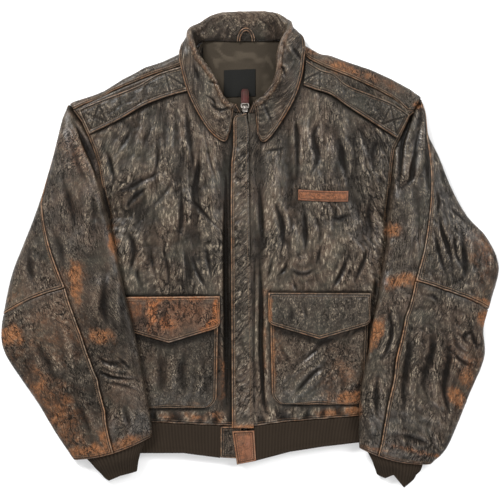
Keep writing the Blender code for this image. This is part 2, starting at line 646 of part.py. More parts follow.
def flap_plan(width, side_drop, point_drop, corner, rows, columns):
    """Plan grid of a pocket flap: straight top, rounded lower corners and a shallow point."""
    across = np.linspace(-1, 1, columns)[:, None]
    down = np.linspace(0, 1, rows)[None, :]
    drop = side_drop + (point_drop - side_drop) * (1 - np.abs(across))
    past = np.maximum(np.abs(across) * width / 2 - (width / 2 - corner), 0) / corner
    drop = drop - corner * (1 - np.sqrt(np.maximum(1 - past**2, 0)))
    return across * width / 2 + 0 * down, -drop * down


def lay_on_front(x, y, at, turn):
    """Turns a plan grid, moves it to its place and gives the front's height below it."""
    px = at[0] + x * np.cos(turn) - y * np.sin(turn)
    py = at[1] + x * np.sin(turn) + y * np.cos(turn)
    return px, py, front_height(px, py)


def pocket_bulge(x, y):
    """How far a pocket stands off the front, nothing at its sewn edges."""
    edge = np.minimum(1 - np.abs(x) / (POCKET_WIDTH / 2), (y + POCKET_HEIGHT) / POCKET_HEIGHT * 2)
    return POCKET_BULGE * smooth(edge * 3)


def make_pocket(side):
    """A patch pocket with its pointed flap, both following the front they are sewn to."""
    at, turn = ((POCKET_RIGHT_TOP, POCKET_TURN_RIGHT) if side == "right"
                else (POCKET_LEFT_TOP, POCKET_TURN_LEFT))
    x, y = rounded_pocket(POCKET_WIDTH, POCKET_HEIGHT, POCKET_TAPER, POCKET_CORNER, 12, 12)
    px, py, ground = lay_on_front(x, y - 3, at, turn)
    base = ground + LAY_GAP * 1.6 + pocket_bulge(x, y)
    wall(f"pocket_{side}", stack(px, py, base + LEATHER), stack(px, py, base), "leather")
    x, y = flap_plan(POCKET_WIDTH + 4, POCKET_FLAP_SIDE, POCKET_FLAP_POINT, POCKET_FLAP_CORNER, 7, 14)
    px, py, ground = lay_on_front(x, y, at, turn)
    base = ground + LAY_GAP * 2.6 + LEATHER + FLAP_LIFT + pocket_bulge(x * 0, y * 0 - 60)
    wall(f"pocket_flap_{side}", stack(px, py, base + LEATHER), stack(px, py, base), "leather")


def make_wind_flap():
    """The narrow flap over the zip, sewn along its left edge and rounded at its upper corner."""
    up = np.linspace(0, 1, 27)[None, :]
    across = np.linspace(0, 1, 4)[:, None]
    y = -285 + (216 + 285) * up + 3 * across * smooth((up - 0.9) / 0.1)
    free = along(WIND_FLAP_LEFT, y)
    top = np.maximum(y - (216 - WIND_FLAP_CORNER), 0) / WIND_FLAP_CORNER
    free = free + WIND_FLAP_CORNER * (1 - np.sqrt(np.maximum(1 - np.minimum(top, 1) ** 2, 0)))
    sewn = along(WIND_FLAP_SEAM, y)
    x = free + (sewn - free) * across
    ground = np.maximum(front_height(x, y), front_height(x * 0 - 22, y) - 1)
    base = ground + LAY_GAP * 1.6 + 0.9 * np.sin(np.pi * across)
    wall("wind_flap", stack(x, y, base + LEATHER), stack(x, y, base), "leather")


def quad_plan(corners, columns, rows):
    """Plan grid over four corners, given anticlockwise from the upper wearer's right."""
    a, b, c, d = (np.array(p, float) for p in corners)
    u = np.linspace(0, 1, columns)[:, None, None]
    v = np.linspace(0, 1, rows)[None, :, None]
    plan = (1 - v) * ((1 - u) * a + u * b) + v * ((1 - u) * d + u * c)
    return plan[..., 0], plan[..., 1]


def waist_height(x, y):
    """Height of the waistband's front layer, which thins to its free edge."""
    side = np.where(x < 0, side_distance(x, y), side_distance(x, y))
    thin = WAIST_THIN * smooth((-285 - y) / 45) * smooth(side / 40)
    return np.maximum(front_height(x, y) - thin, 2 * WAIST_FOLD_ROUND)


def waist_y(x, v):
    """Place down the waistband, from the hem seam to its free edge."""
    top = along(HEM_LINE, x) - HEM_GAP
    return top + (along(WAIST_BOTTOM, x) - top) * v


def make_waist_tabs():
    """Leather ends of the waistband beside the zip, and the tab that ends the wind flap."""
    x, y = quad_plan(FRONT_TAB, 4, 5)
    z = waist_height(x, y)
    wall("waist_tab_right", stack(x, y, z), stack(x, y, z - LEATHER), "leather")
    x, y = quad_plan(FLAP_TAB, 4, 5)
    z = waist_height(x, y) + LEATHER + SEAM_GAP * 1.5
    wall("wind_flap_tab", stack(x, y, z), stack(x, y, z - LEATHER), "worn_leather")


def make_waistband():
    """The knit waistband: one C-shaped wall from its right front end round the back to its left."""
    v = np.linspace(0, 1, 5)[None, :]
    r = WAIST_FOLD_ROUND
    turn = np.linspace(0, 1, 6)[1:-1]
    front = np.linspace(0, 1, 13)
    behind = np.linspace(0, 1, 13)
    side_right = WAIST_SIDE_RIGHT[0] + (WAIST_SIDE_RIGHT[1] - WAIST_SIDE_RIGHT[0]) * v
    side_left = WAIST_SIDE_LEFT[0] + (WAIST_SIDE_LEFT[1] - WAIST_SIDE_LEFT[0]) * v
    fold_right = -(side_right - r)
    fold_left = side_left - r
    pieces = []
    x = WAIST_END_RIGHT + (fold_right - WAIST_END_RIGHT) * front[:, None]
    pieces.append((x, waist_height(x, waist_y(x, v))))
    angle = np.pi * turn[:, None]
    pieces.append((fold_right - r * np.sin(angle), r + r * np.cos(angle) + 0 * v))
    x = fold_right + (fold_left - fold_right) * behind[:, None]
    pieces.append((x, 0 * x))
    pieces.append((fold_left + r * np.sin(angle), r - r * np.cos(angle) + 0 * v))
    x = fold_left + (WAIST_END_LEFT - fold_left) * front[:, None]
    pieces.append((x, waist_height(x, waist_y(x, v))))
    x = np.vstack([p[0] for p in pieces])
    z = np.vstack([p[1] for p in pieces])
    outer = stack(x, waist_y(x, v), z)
    normals = grid_normals(outer, 1) * (1, 0, 1)
    wall("waistband", outer, outer - normals * KNIT, "knit")


def make_epaulette(side):
    """A shoulder strap, a thick folded strip arched a little off the front it is sewn to."""
    pairs = EPAULETTE_RIGHT if side == "right" else EPAULETTE_LEFT
    share = np.linspace(0, 1, 15)[:, None]
    across = np.linspace(0, 1, 6)[None, :]
    upper = curve([p[0] for p in pairs], share)
    lower = curve([p[1] for p in pairs], share)
    plan = upper + (lower - upper) * across[..., None]
    x, y = plan[..., 0], plan[..., 1]
    ground = np.maximum(front_height(x, y), 2 * SHOULDER_ROUND)
    arch = STRAP_ARCH * np.sin(np.pi * share) * (0.35 + 0.65 * across)
    base = ground + LAY_GAP + arch
    wall(f"epaulette_{side}", stack(x, y, base + STRAP_THICKNESS), stack(x, y, base), "leather")


def make_name_strip():
    """The narrow leather strip sewn across the left chest."""
    width, height = NAME_STRIP_SIZE
    x = np.linspace(-width / 2, width / 2, 9)[:, None]
    y = np.linspace(-height / 2, height / 2, 4)[None, :]
    bow = 1.2 * (1 - (2 * x / width) ** 2)
    px, py, ground = lay_on_front(x + 0 * y, y - bow, NAME_STRIP_AT, NAME_STRIP_TURN)
    base = ground + LAY_GAP
    wall("name_strip", stack(px, py, base + LEATHER), stack(px, py, base), "worn_leather")


def make_neck_pieces(collar):
    """Lining and label seen through the neck, and the hanger loop on the collar stand."""
    (x0, x1), (y0, y1) = LINING_SIZE
    x = np.linspace(x0, x1, 9)[:, None]
    y = np.linspace(y0, y1, 7)[None, :]
    z = LINING_BASE + 0 * x * y
    wall("back_lining", stack(x, y, z + LINING_THICKNESS), stack(x, y, z), "lining")
    (x0, x1), (y0, y1) = LABEL_BOX
    x = np.linspace(x0, x1, 5)[:, None]
    y = np.linspace(y0, y1, 5)[None, :] + 0.04 * (x - x0)
    z = LINING_BASE + LINING_THICKNESS + SEAM_GAP + 0 * x * y
    wall("label", stack(x, y, z + LABEL_THICKNESS), stack(x, y, z), "label")
    angle = np.linspace(0, np.pi, 15)[:, None]
    reach = np.linspace(-0.5, 0.5, 3)[None, :] * LOOP_STRAP
    x = LOOP_CENTRE[0] + (LOOP_WIDTH / 2 + reach) * np.cos(angle)
    y = LOOP_CENTRE[1] + (LOOP_HEIGHT - LOOP_STRAP / 2 + reach) * np.sin(angle)
    stand = collar[:, :6].reshape(-1, 3)
    away = (x[..., None] - stand[:, 0]) ** 2 + (y[..., None] - stand[:, 1]) ** 2
    weight = 1 / (away + 4) ** 2
    z = (weight * stand[:, 2]).sum(-1) / weight.sum(-1) + LOOP_LIFT
    wall("hanger_loop", stack(x, y, z + LOOP_THICKNESS), stack(x, y, z), "leather")


def make_zip():
    """The zip tape under both front edges and the slider at its upper end."""
    y = np.linspace(ZIP_BOTTOM, ZIP_TOP, 25)[None, :]
    x = ZIP_X + np.linspace(-0.5, 0.5, 5)[:, None] * ZIP_TAPE_WIDTH
    under = np.where(y < -270, waist_height(x, y), front_height(x, y))
    z = under - KNIT - SEAM_GAP * 2
    wall("zip_tape", stack(x, y, z), stack(x, y, z - ZIP_TAPE_THICKNESS), "zip_tape")
    bed = float(front_height(np.array(ZIP_X), np.array(ZIP_TOP))) - KNIT - SEAM_GAP
    width, length, height = SLIDER_SIZE
    rings = []
    for share, wide in ((0, 0.86), (0.12, 1.0), (0.85, 1.0), (1, 0.8)):
        rings.append((bed + height * share, width * wide / 2, length * wide / 2))
    add_object("zip_slider", ring_stack("zip_slider", rings, (ZIP_X, SLIDER_Y)), "steel")


def make_slider_bridge():
    """The steel arch on the slider that holds the pull's link."""
    angle = np.linspace(0, np.pi, 9)[:, None]
    ring = np.linspace(0, 2 * np.pi, 9)[:-1][None, :]
    reach = BRIDGE_ROUND + BRIDGE_WIRE * np.cos(ring)
    x = PIVOT[0] + BRIDGE_WIRE * np.sin(ring) * 1.6 + 0 * angle
    points = stack(x, PIVOT[1] + reach * np.cos(angle), PIVOT[2] - 1.5 + (reach + 1.3) * np.sin(angle)).reshape(-1, 3)
    index = np.arange(9 * 8).reshape(9, 8)
    a, b = index[:-1], index[1:]
    faces = np.stack([a, b, np.roll(b, -1, axis=1), np.roll(a, -1, axis=1)], -1).reshape(-1, 4).tolist()
    faces += [index[0].tolist(), index[-1, ::-1].tolist()]
    add_object("slider_bridge", closed_mesh("slider_bridge", points, faces), "steel")


def rounded_outline(half_x, half_y, corner, steps=4):
    """Plan outline of a rounded rectangle, anticlockwise."""
    angles = np.linspace(0, np.pi / 2, steps)
    centres = [(half_x - corner, half_y - corner), (corner - half_x, half_y - corner),
               (corner - half_x, corner - half_y), (half_x - corner, corner - half_y)]
    points = []
    for turn, (cx, cy) in enumerate(centres):
        at = angles + turn * np.pi / 2
        points.append(np.stack([cx + corner * np.cos(at), cy + corner * np.sin(at)], -1))
    return np.concatenate(points)


def ring_stack(name, rings, centre):
    """A closed body through rounded outlines stacked in Z: (height, half width, half length)."""
    loops = []
    for z, half_x, half_y in rings:
        outline = rounded_outline(half_x, half_y, min(half_x, half_y) * 0.35)
        loops.append(np.column_stack([outline + centre, np.full(len(outline), z)]))
    count = len(loops[0])
    faces = [list(range(count))[::-1]]
    for level in range(len(loops) - 1):
        for k in range(count):
            a = level * count + k
            b = level * count + (k + 1) % count
            faces.append([a, b, b + count, a + count])
    faces.append([(len(loops) - 1) * count + k for k in range(count)])
    return closed_mesh(name, np.concatenate(loops), faces)


def swung(points):
    """Points of the pull, drawn level from the pivot, dropped to where it rests."""
    drop = np.radians(-PULL_DROP_DEG)
    y, z = points[..., 1], points[..., 2]
    turned = np.stack([points[..., 0], y * np.cos(drop) - z * np.sin(drop),
                       y * np.sin(drop) + z * np.cos(drop)], -1)
    return turned + PIVOT


def make_pull():
    """The pull: a steel link through the slider's top and a leather tab folded on to it."""
    angle = np.linspace(0, 2 * np.pi, 25)[:-1, None]
    ring = np.linspace(0, 2 * np.pi, 9)[:-1][None, :]
    half_x, half_y = LINK_WIDTH / 2, LINK_LENGTH / 2
    square = (np.abs(np.cos(angle)) ** 4 + np.abs(np.sin(angle)) ** 4) ** -0.25
    cx, cy = half_x * np.cos(angle) * square, half_y + half_y * np.sin(angle) * square
    out = np.stack([np.cos(angle), np.sin(angle)], -1)
    x = cx + LINK_WIRE * np.cos(ring) * out[..., 0]
    y = cy + LINK_WIRE * np.cos(ring) * out[..., 1]
    z = LINK_WIRE * np.sin(ring) + 0 * x
    points = swung(np.stack([x, y, z], -1)).reshape(-1, 3)
    index = np.arange(24 * 8).reshape(24, 8)
    a, b = index, np.roll(index, -1, axis=0)
    faces = np.stack([a, b, np.roll(b, -1, axis=1), np.roll(a, -1, axis=1)], -1).reshape(-1, 4)
    add_object("pull_link", closed_mesh("pull_link", points, faces.tolist()), "steel")
    start = LINK_LENGTH + LINK_WIRE + SEAM_GAP
    y = start + np.linspace(0, 1, 8)[None, :] * (PULL_LENGTH - start + LINK_LENGTH)
    end = np.maximum(np.linspace(0, 1, 8)[None, :] - 0.75, 0) / 0.25
    half = PULL_WIDTH / 2 * (1 - 0.35 * end**2)
    x = np.linspace(-1, 1, 5)[:, None] * half
    z = PULL_THICKNESS / 2 * (1 - 0.25 * np.linspace(-1, 1, 5)[:, None] ** 2) + 0 * y
    top = swung(stack(x, y, z))
    low = swung(stack(x, y, -z))
    wall("pull_tab", top, low, "pull_leather")


def clear_scene():
    """Empties the scene."""
    for item in list(bpy.data.objects):
        bpy.data.objects.remove(item, do_unlink=True)


def centre_on_origin():
    """Moves every piece so that the jacket's box is centred on the origin and stands on Z = 0."""
    corners = []
    for item in bpy.data.objects:
        points = np.empty(len(item.data.vertices) * 3)
        item.data.vertices.foreach_get("co", points)
        points = points.reshape(-1, 3)
        corners += [points.min(0), points.max(0)]
    low, high = np.min(corners, 0), np.max(corners, 0)
    shift = np.array([-(low[0] + high[0]) / 2, -(low[1] + high[1]) / 2, -low[2]])
    for item in bpy.data.objects:
        points = np.empty(len(item.data.vertices) * 3)
        item.data.vertices.foreach_get("co", points)
        item.data.vertices.foreach_set("co", (points.reshape(-1, 3) + shift).ravel())
        item.data.update()
    return shift


def main():
    """Builds every piece of the jacket."""
    clear_scene()
    make_back()
    for side in ("right", "left"):
        make_front(side)
        make_sleeve(side)
        make_cuff(side)
        make_pocket(side)
        make_epaulette(side)
    make_neck_pieces(make_collar())
    make_waistband()
    make_waist_tabs()
    make_wind_flap()
    make_name_strip()
    make_zip()
    make_slider_bridge()
    make_pull()
    shift = centre_on_origin()
    print("shift in mm", np.round(shift / MM, 3), "pivot in m", np.round(np.array(PIVOT) * MM + shift, 5))


main()
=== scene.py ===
"""Dresses the worn leather flight jacket that lies flat and face up on a pale floor.

Every cut piece is a thin shell worked out with numpy on the form of its solid. Plan points are in
millimetres, X towards the wearer's left, Y towards the collar, Z up; a mesh is stored in metres.
"""

from __future__ import annotations

import logging
from dataclasses import dataclass, field
from enum import Enum
from typing import Sequence

import bpy
import numpy as np
from mathutils import Matrix, Vector

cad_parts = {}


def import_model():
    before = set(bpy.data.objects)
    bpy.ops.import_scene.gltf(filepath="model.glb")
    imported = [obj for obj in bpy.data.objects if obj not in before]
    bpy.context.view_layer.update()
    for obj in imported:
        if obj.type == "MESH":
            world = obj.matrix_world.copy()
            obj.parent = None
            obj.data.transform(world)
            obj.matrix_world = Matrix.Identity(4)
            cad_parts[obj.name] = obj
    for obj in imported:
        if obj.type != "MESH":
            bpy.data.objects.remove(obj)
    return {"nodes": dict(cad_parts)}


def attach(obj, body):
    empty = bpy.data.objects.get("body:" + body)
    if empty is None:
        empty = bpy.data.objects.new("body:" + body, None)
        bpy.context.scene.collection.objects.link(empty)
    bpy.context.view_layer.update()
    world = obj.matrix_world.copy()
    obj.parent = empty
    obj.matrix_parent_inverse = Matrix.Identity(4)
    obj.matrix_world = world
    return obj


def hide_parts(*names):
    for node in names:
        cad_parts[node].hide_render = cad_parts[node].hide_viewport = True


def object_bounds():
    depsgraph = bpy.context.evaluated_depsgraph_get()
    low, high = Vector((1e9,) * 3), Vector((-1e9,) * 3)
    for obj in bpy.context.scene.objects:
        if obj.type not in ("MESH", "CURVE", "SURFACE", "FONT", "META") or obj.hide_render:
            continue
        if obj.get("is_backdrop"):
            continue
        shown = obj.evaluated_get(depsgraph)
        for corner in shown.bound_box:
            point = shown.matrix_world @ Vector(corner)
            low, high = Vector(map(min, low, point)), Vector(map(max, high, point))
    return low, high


LOG = logging.getLogger("jacket")
Array = np.ndarray
Point = tuple[float, float]
Colour = tuple[float, float, float]

MM = 0.001
SHIFT = np.array([1.349, -0.2, 0.0])
LEATHER = 1.6
LAY_GAP = 0.8
SHOULDER_ROUND = 9.5


class Side(Enum):
    """The wearer's side; the right side lies at -X."""

    RIGHT = "right"
    LEFT = "left"

    @property
    def sign(self) -> int:
        """-1 on the wearer's right, 1 on the left."""
        return -1 if self is Side.RIGHT else 1


class Part(Enum):
    """The three cut pieces of a sleeve."""

    INNER = "inner"
    UPPER = "upper"
    LOWER = "lower"


# ---- outlines of the cut pieces --------------------------------------------------------------

SIDE_LINE: dict[Side, list[Point]] = {
    Side.RIGHT: [
        (-338, 231), (-284, 243), (-279, 247), (-180, 266), (-80, 273), (-3, 272), (11, 262), (32, 243),
        (52, 225), (66, 229), (84, 234), (112, 239), (136, 243), (160, 251), (183, 260), (205, 270),
        (227, 284), (240, 292)],
    Side.LEFT: [
        (-335, 224), (-272, 236), (-268, 240), (-180, 258), (-80, 264), (-20, 262), (0, 256), (22, 238),
        (46, 219), (66, 222), (84, 224), (107, 226), (132, 228), (161, 232), (184, 243), (215, 257),
        (228, 265), (243, 274)],
}
HEM_LINE: list[Point] = [
    (-247, -279), (-160, -276), (-80, -280), (-20, -282), (10, -282), (51, -276), (102, -272),
    (163, -267), (240, -264)]
SHOULDER_FOLD: list[Point] = [
    (-296, 229), (-284, 236), (-261, 245), (-234, 256), (-204, 275), (-184, 285), (-171, 293),
    (-140, 303), (-114, 315), (-84, 326), (-72, 341), (0, 341), (50, 341), (64, 333), (90, 328),
    (113, 315), (129, 313), (155, 303), (194, 290), (227, 275), (260, 257), (277, 241)]
SHOULDER_SEAM: dict[Side, list[Point]] = {
    Side.RIGHT: [
        (-94, 305), (-114, 294), (-160, 279), (-204, 261), (-240, 245), (-276, 228), (-283.5, 224.5)],
    Side.LEFT: [
        (80, 318), (97, 304), (121, 292), (160, 277), (203, 257), (230, 242), (257, 225),
        (263.5, 221.5)],
}
NECK_LINE: dict[Side, list[Point]] = {
    Side.RIGHT: [
        (-13, 221), (-30, 225), (-54, 240), (-75, 264), (-90, 290), (-94, 305)],
    Side.LEFT: [
        (-3, 221), (20, 226), (42, 246), (60, 276), (74, 302), (80, 318)],
}
FRONT_EDGE: dict[Side, float] = {Side.RIGHT: -13, Side.LEFT: -3}
BACK_NECK_Y = 331
PLATEAU: list[Point] = [
    (-290, 16.5), (-255, 18), (-200, 23), (-50, 25), (100, 24), (200, 20.5), (330, 19)]
BROAD_FOLDS: list[tuple[Point, Point, float, float]] = [
    ((-40, 150), (-38, -270), 10, -5.0), ((-62, 190), (-66, 20), 16, 2.6),
    ((-96, 150), (-88, -40), 14, -2.8), ((-150, 190), (-118, 40), 18, 2.4),
    ((-190, 110), (-150, -30), 16, -2.6), ((16, 150), (12, -250), 10, -3.6),
    ((36, 170), (34, -40), 13, 3.0), ((62, 190), (70, 30), 14, -2.8), ((96, 170), (112, 10), 17, 2.6),
    ((150, 150), (190, 20), 15, -2.4), ((120, -20), (178, 60), 15, 2.6),
    ((40, -40), (110, -52), 13, -2.2)]
SLEEVE_FOLDS: dict[Side, list[tuple[Point, Point]]] = {
    Side.RIGHT: [
        ((-225, 52), (-292, 234)), ((-223, 36), (-301, 212)), ((-219, 18), (-308, 183)),
        ((-214, -2), (-317, 146)), ((-208, -28), (-330, 101)), ((-201, -58), (-345, 56)),
        ((-193, -92), (-363, 10)), ((-183, -130), (-381, -36)), ((-175, -165), (-392, -84)),
        ((-170, -198), (-399, -132)), ((-165, -228), (-393, -166)), ((-160, -255), (-367, -207)),
        ((-157, -273), (-341, -245)), ((-156, -286), (-314, -291)), ((-158, -299), (-283, -338))],
    Side.LEFT: [
        ((219, 46), (275, 243)), ((219, 28), (282, 220)), ((218, 8), (286, 186)),
        ((214, -16), (303, 150)), ((209, -42), (323, 100)), ((204, -74), (348, 55)),
        ((197, -104), (380, 20)), ((192, -132), (399, -26)), ((188, -160), (388, -76)),
        ((182, -188), (375, -124)), ((177, -216), (376, -172)), ((174, -246), (352, -232)),
        ((174, -272), (334, -278)), ((174, -296), (315, -320)), ((175, -317), (290, -345))],
}
SLEEVE_LOFT: list[Point] = [
    (0, 19), (0.05, 27), (0.12, 34), (0.35, 38), (0.62, 40), (0.8, 35), (0.93, 28), (1, 22)]
SEAM_WHERE: dict[Side, list[Point]] = {
    Side.RIGHT: [
        (0, 1.0), (0.24, 0.995), (0.32, 0.97), (0.345, 0.91), (0.385, 0.8), (0.427, 0.68),
        (0.47, 0.565), (0.528, 0.48), (0.588, 0.41), (0.641, 0.36), (0.709, 0.325), (0.834, 0.37),
        (0.9, 0.42), (1, 0.47)],
    Side.LEFT: [
        (0, 1.0), (0.12, 0.985), (0.168, 0.925), (0.24, 0.775), (0.291, 0.64), (0.346, 0.5),
        (0.375, 0.425), (0.411, 0.355), (0.504, 0.255), (0.616, 0.25), (1, 0.245)],
}
ELBOW_AT: dict[Side, list[Point]] = {
    Side.RIGHT: [
        (0.5, 0.455), (0.589, 0.479), (0.69, 0.505), (0.815, 0.54), (0.901, 0.567), (1, 0.6)],
    Side.LEFT: [
        (0.3, 0.385), (0.389, 0.418), (0.468, 0.449), (0.555, 0.483), (0.671, 0.519), (0.823, 0.557),
        (1, 0.6)],
}
CUFF_FOLDS: dict[Side, list[tuple[Point, Point]]] = {
    Side.RIGHT: [
        ((-166, -296), (-270, -329)), ((-171, -314), (-255, -344)), ((-178, -334), (-244, -357)),
        ((-182, -356), (-235, -368))],
    Side.LEFT: [
        ((182, -313), (280, -337)), ((193, -332), (276, -352)), ((200, -348), (270, -360)),
        ((205, -362), (266, -368))],
}
CUFF_EDGE: dict[Side, list[Point]] = {
    Side.RIGHT: [
        (0, 0), (0.5, 1), (0.85, 5), (1, -1)],
    Side.LEFT: [
        (0, 0), (0.2, 4), (0.42, -3), (0.7, 16), (1, 0)],
}
# Round the neck from its right front: places of the neck seam, the fold and the leaf's edge, and how far the
# leaf lies under the fold.
COLLAR_SECTIONS: list[tuple] = [
    ((-13, 220, 21.5), (-21, 233, 30), (-32, 190, 25), 0),
    ((-28, 223, 21.5), (-31, 235, 31), (-41, 173, 25), 0),
    ((-48, 235, 21.5), (-43, 248, 32), (-63, 188, 25), 0),
    ((-70, 260, 21.5), (-53, 272, 33), (-85, 221, 25), 0),
    ((-84, 284, 21.5), (-67, 294, 33), (-101, 256, 25), 0),
    ((-90, 302, 21.5), (-79, 310, 32), (-110, 288, 26), 0),
    ((-88, 316, 22), (-84, 321, 34), (-114, 312, 24.5), 0.1),
    ((-83, 329, 18), (-94, 348, 30), (-108, 333, 9), 0.55),
    ((-72, 336, 9), (-80, 366, 18), (-86, 349, 1.3), 1),
    ((-46, 336, 6), (-52, 381, 15), (-48, 347, 1.3), 1),
    ((-8, 336, 6), (-8, 384, 15), (-8, 347, 1.3), 1), ((26, 336, 6), (35, 383, 15), (30, 347, 1.3), 1),
    ((46, 338, 9), (59, 372, 18), (64, 353, 1.3), 1),
    ((55, 335, 17), (61, 356, 30), (84, 344, 12), 0.45),
    ((62, 324, 22), (48, 332, 36), (89, 326, 24.5), 0.1),
    ((63, 308, 21.5), (42, 308, 37), (87, 304, 26), 0),
    ((58, 286, 21.5), (41, 286, 37), (84, 280, 25), 0),
    ((50, 262, 21.5), (36, 268, 36), (75, 250, 25), 0),
    ((38, 240, 21.5), (24, 250, 33), (60, 220, 25), 0),
    ((22, 227, 21.5), (14, 241, 35), (36, 184, 25), 0),
    ((8, 221, 21.5), (9, 238, 34), (21, 172, 25), 0), ((-3, 220, 21.5), (4, 235, 32), (12, 184, 25), 0)]
POCKET_TOP: dict[Side, Point] = {Side.RIGHT: (-130, -74), Side.LEFT: (111, -68)}
POCKET_TURN: dict[Side, float] = {Side.RIGHT: 0.01, Side.LEFT: -0.005}
WIND_FLAP_FREE: list[Point] = [(-288, -29), (-120, -30), (80, -31), (140, -30), (165, -27), (196, -27)]
WIND_FLAP_SEWN: list[Point] = [(-288, 6), (-160, 4), (0, 0), (120, -2), (195, -2), (216, -6)]
WAIST_BOTTOM: list[Point] = [
    (-231, -327), (-107, -326), (-46, -334), (10, -338), (64, -324), (115, -316), (168, -310),
    (224, -306)]
TAB_CORNERS: list[list[Point]] = [
    [(-47.6, -283), (-14, -283), (-14, -335), (-47.6, -333)], [(-29, -290), (7, -289), (10, -338), (-21, -344)]]
STRAP_EDGES: dict[Side, list[tuple[Point, Point]]] = {
    Side.RIGHT: [
        ((-111, 293), (-101, 254)), ((-132, 287), (-123, 248)), ((-153, 279), (-147, 240)),
        ((-176, 265), (-169, 231)), ((-204, 253), (-190, 219)), ((-236, 241), (-211, 207)),
        ((-275, 225), (-257, 185))],
    Side.LEFT: [
        ((90, 303), (86, 263)), ((113, 289), (105, 256)), ((133, 282), (129, 248)),
        ((155, 264), (155, 230)), ((195, 248), (178, 215)), ((227, 235), (206, 197)),
        ((256, 216), (236, 178))],
}
PIVOT = np.array([-8.0, 227.0, 24.0])
PULL_DROP = np.radians(-27)


# ---- reading tables, curves and soft steps ---------------------------------------------------

def along(table: Sequence[Point], at: Array) -> Array:
    """Straight-line reading of a table of (place, value) pairs."""
    places, values = zip(*table)
    return np.interp(at, places, values)


def smooth(t: Array) -> Array:
    """The soft step 3t^2 - 2t^3, held at 0 and 1 outside."""
    t = np.clip(t, 0, 1)
    return t * t * (3 - 2 * t)


def bell(d: Array, width: float | Array) -> Array:
    """The bell exp(-(d / width)^2)."""
    return np.exp(-((d / width) ** 2))


def curve(points: Sequence, at: Array) -> Array:
    """A Catmull-Rom curve through evenly numbered points.

    Args:
        points: the points that it passes through.
        at: shares from 0 to 1 of the way through the numbering.

    Returns:
        One point for each share, on a new last axis.
    """
    knots = np.asarray(points, float)
    knots = np.vstack([2 * knots[0] - knots[1], knots, 2 * knots[-1] - knots[-2]])
    place = np.clip(at, 0, 1) * (len(knots) - 3)
    first = np.minimum(place.astype(int), len(knots) - 4)
    t = (place - first)[..., None]
    p0, p1, p2, p3 = (knots[first + k] for k in range(4))
    return 0.5 * (2 * p1 + (p2 - p0) * t + (2 * p0 - 5 * p1 + 4 * p2 - p3) * t**2
                  + (3 * p1 - p0 - 3 * p2 + p3) * t**3)


def straight_run(points: Sequence, at: Array) -> Array:
    """A line of straight pieces, read at shares of its length."""
    knots = np.asarray(points, float)
    run = np.concatenate([[0], np.cumsum(np.linalg.norm(np.diff(knots, axis=0), axis=1))])
    return np.stack([np.interp(at, run / run[-1], knots[:, k]) for k in range(knots.shape[1])], -1)


def grid3(x: Array, y: Array, z: Array) -> Array:
    """Three arrays as one grid of points."""
    return np.stack(np.broadcast_arrays(x, y, z), -1).astype(float)


def edged(count: int, length: float, lip: float = 1.3) -> Array:
    """Shares from 0 to 1 with one more line close inside each end, so that an edge can round over."""
    near = lip / length
    return np.concatenate([[0, near * 0.45], np.linspace(near, 1 - near, count), [1 - near * 0.45, 1]])


def surface_normals(points: Array, facing: int) -> Array:
    """Unit normals of a grid: the cross product of its two directions, turned by a sign."""
    normals = np.cross(np.gradient(points, axis=0), np.gradient(points, axis=1))
    return facing * normals / np.maximum(np.linalg.norm(normals, axis=-1, keepdims=True), 1e-9)


# ---- creases ---------------------------------------------------------------------------------

def lattice(x: Array, y: Array, seed: int) -> Array:
    """Smooth noise from -1 to 1: random values on a unit lattice, blended by soft steps."""
    table = np.random.default_rng(seed).uniform(-1, 1, (97, 97))
    x, y = np.broadcast_arrays(np.asarray(x, float), np.asarray(y, float))
    ix, iy = np.floor(x).astype(int), np.floor(y).astype(int)
    fx, fy = smooth(x - ix), smooth(y - iy)
    a, b = table[ix % 97, iy % 97], table[(ix + 1) % 97, iy % 97]
    c, d = table[ix % 97, (iy + 1) % 97], table[(ix + 1) % 97, (iy + 1) % 97]
    return (a * (1 - fx) + b * fx) * (1 - fy) + (c * (1 - fx) + d * fx) * fy


@dataclass(frozen=True)
class Crumple:
    """Small creases all over a piece: soft pillows parted by narrow valleys, in layers of falling size.

    Args:
        size: width in millimetres of the largest pillows.
        stretch: how much longer they are than wide.
        turn: direction that they run in, in radians from +X.
        height: height of the largest in millimetres.
        seed: which pattern.
    """

    size: float
    stretch: float
    turn: float
    height: float
    seed: int

    def read(self, x: Array, y: Array) -> Array:
        """Height at plan places: layers of |noise| on coordinates bent by slower noise."""
        cos, sin = np.cos(self.turn), np.sin(self.turn)
        bend_x = 0.55 * self.size * lattice(x / (self.size * 2.3), y / (self.size * 2.3), self.seed + 1)
        bend_y = 0.55 * self.size * lattice(x / (self.size * 2.1), y / (self.size * 2.1), self.seed + 2)
        a = ((x + bend_x) * cos + (y + bend_y) * sin) / (self.size * self.stretch)
        b = (-(x + bend_x) * sin + (y + bend_y) * cos) / self.size
        total = np.zeros(np.shape(a + b))
        weight = 1.0
        for level in range(4):
            scale = 2.0**level
            noise = lattice(a * scale + 7.3 * level, b * scale - 3.1 * level, self.seed + 10 + level)
            total = total + weight * (2.2 * np.sqrt(noise**2 + 0.004) - 0.55)
            weight *= 0.55
        return self.height * total / 2


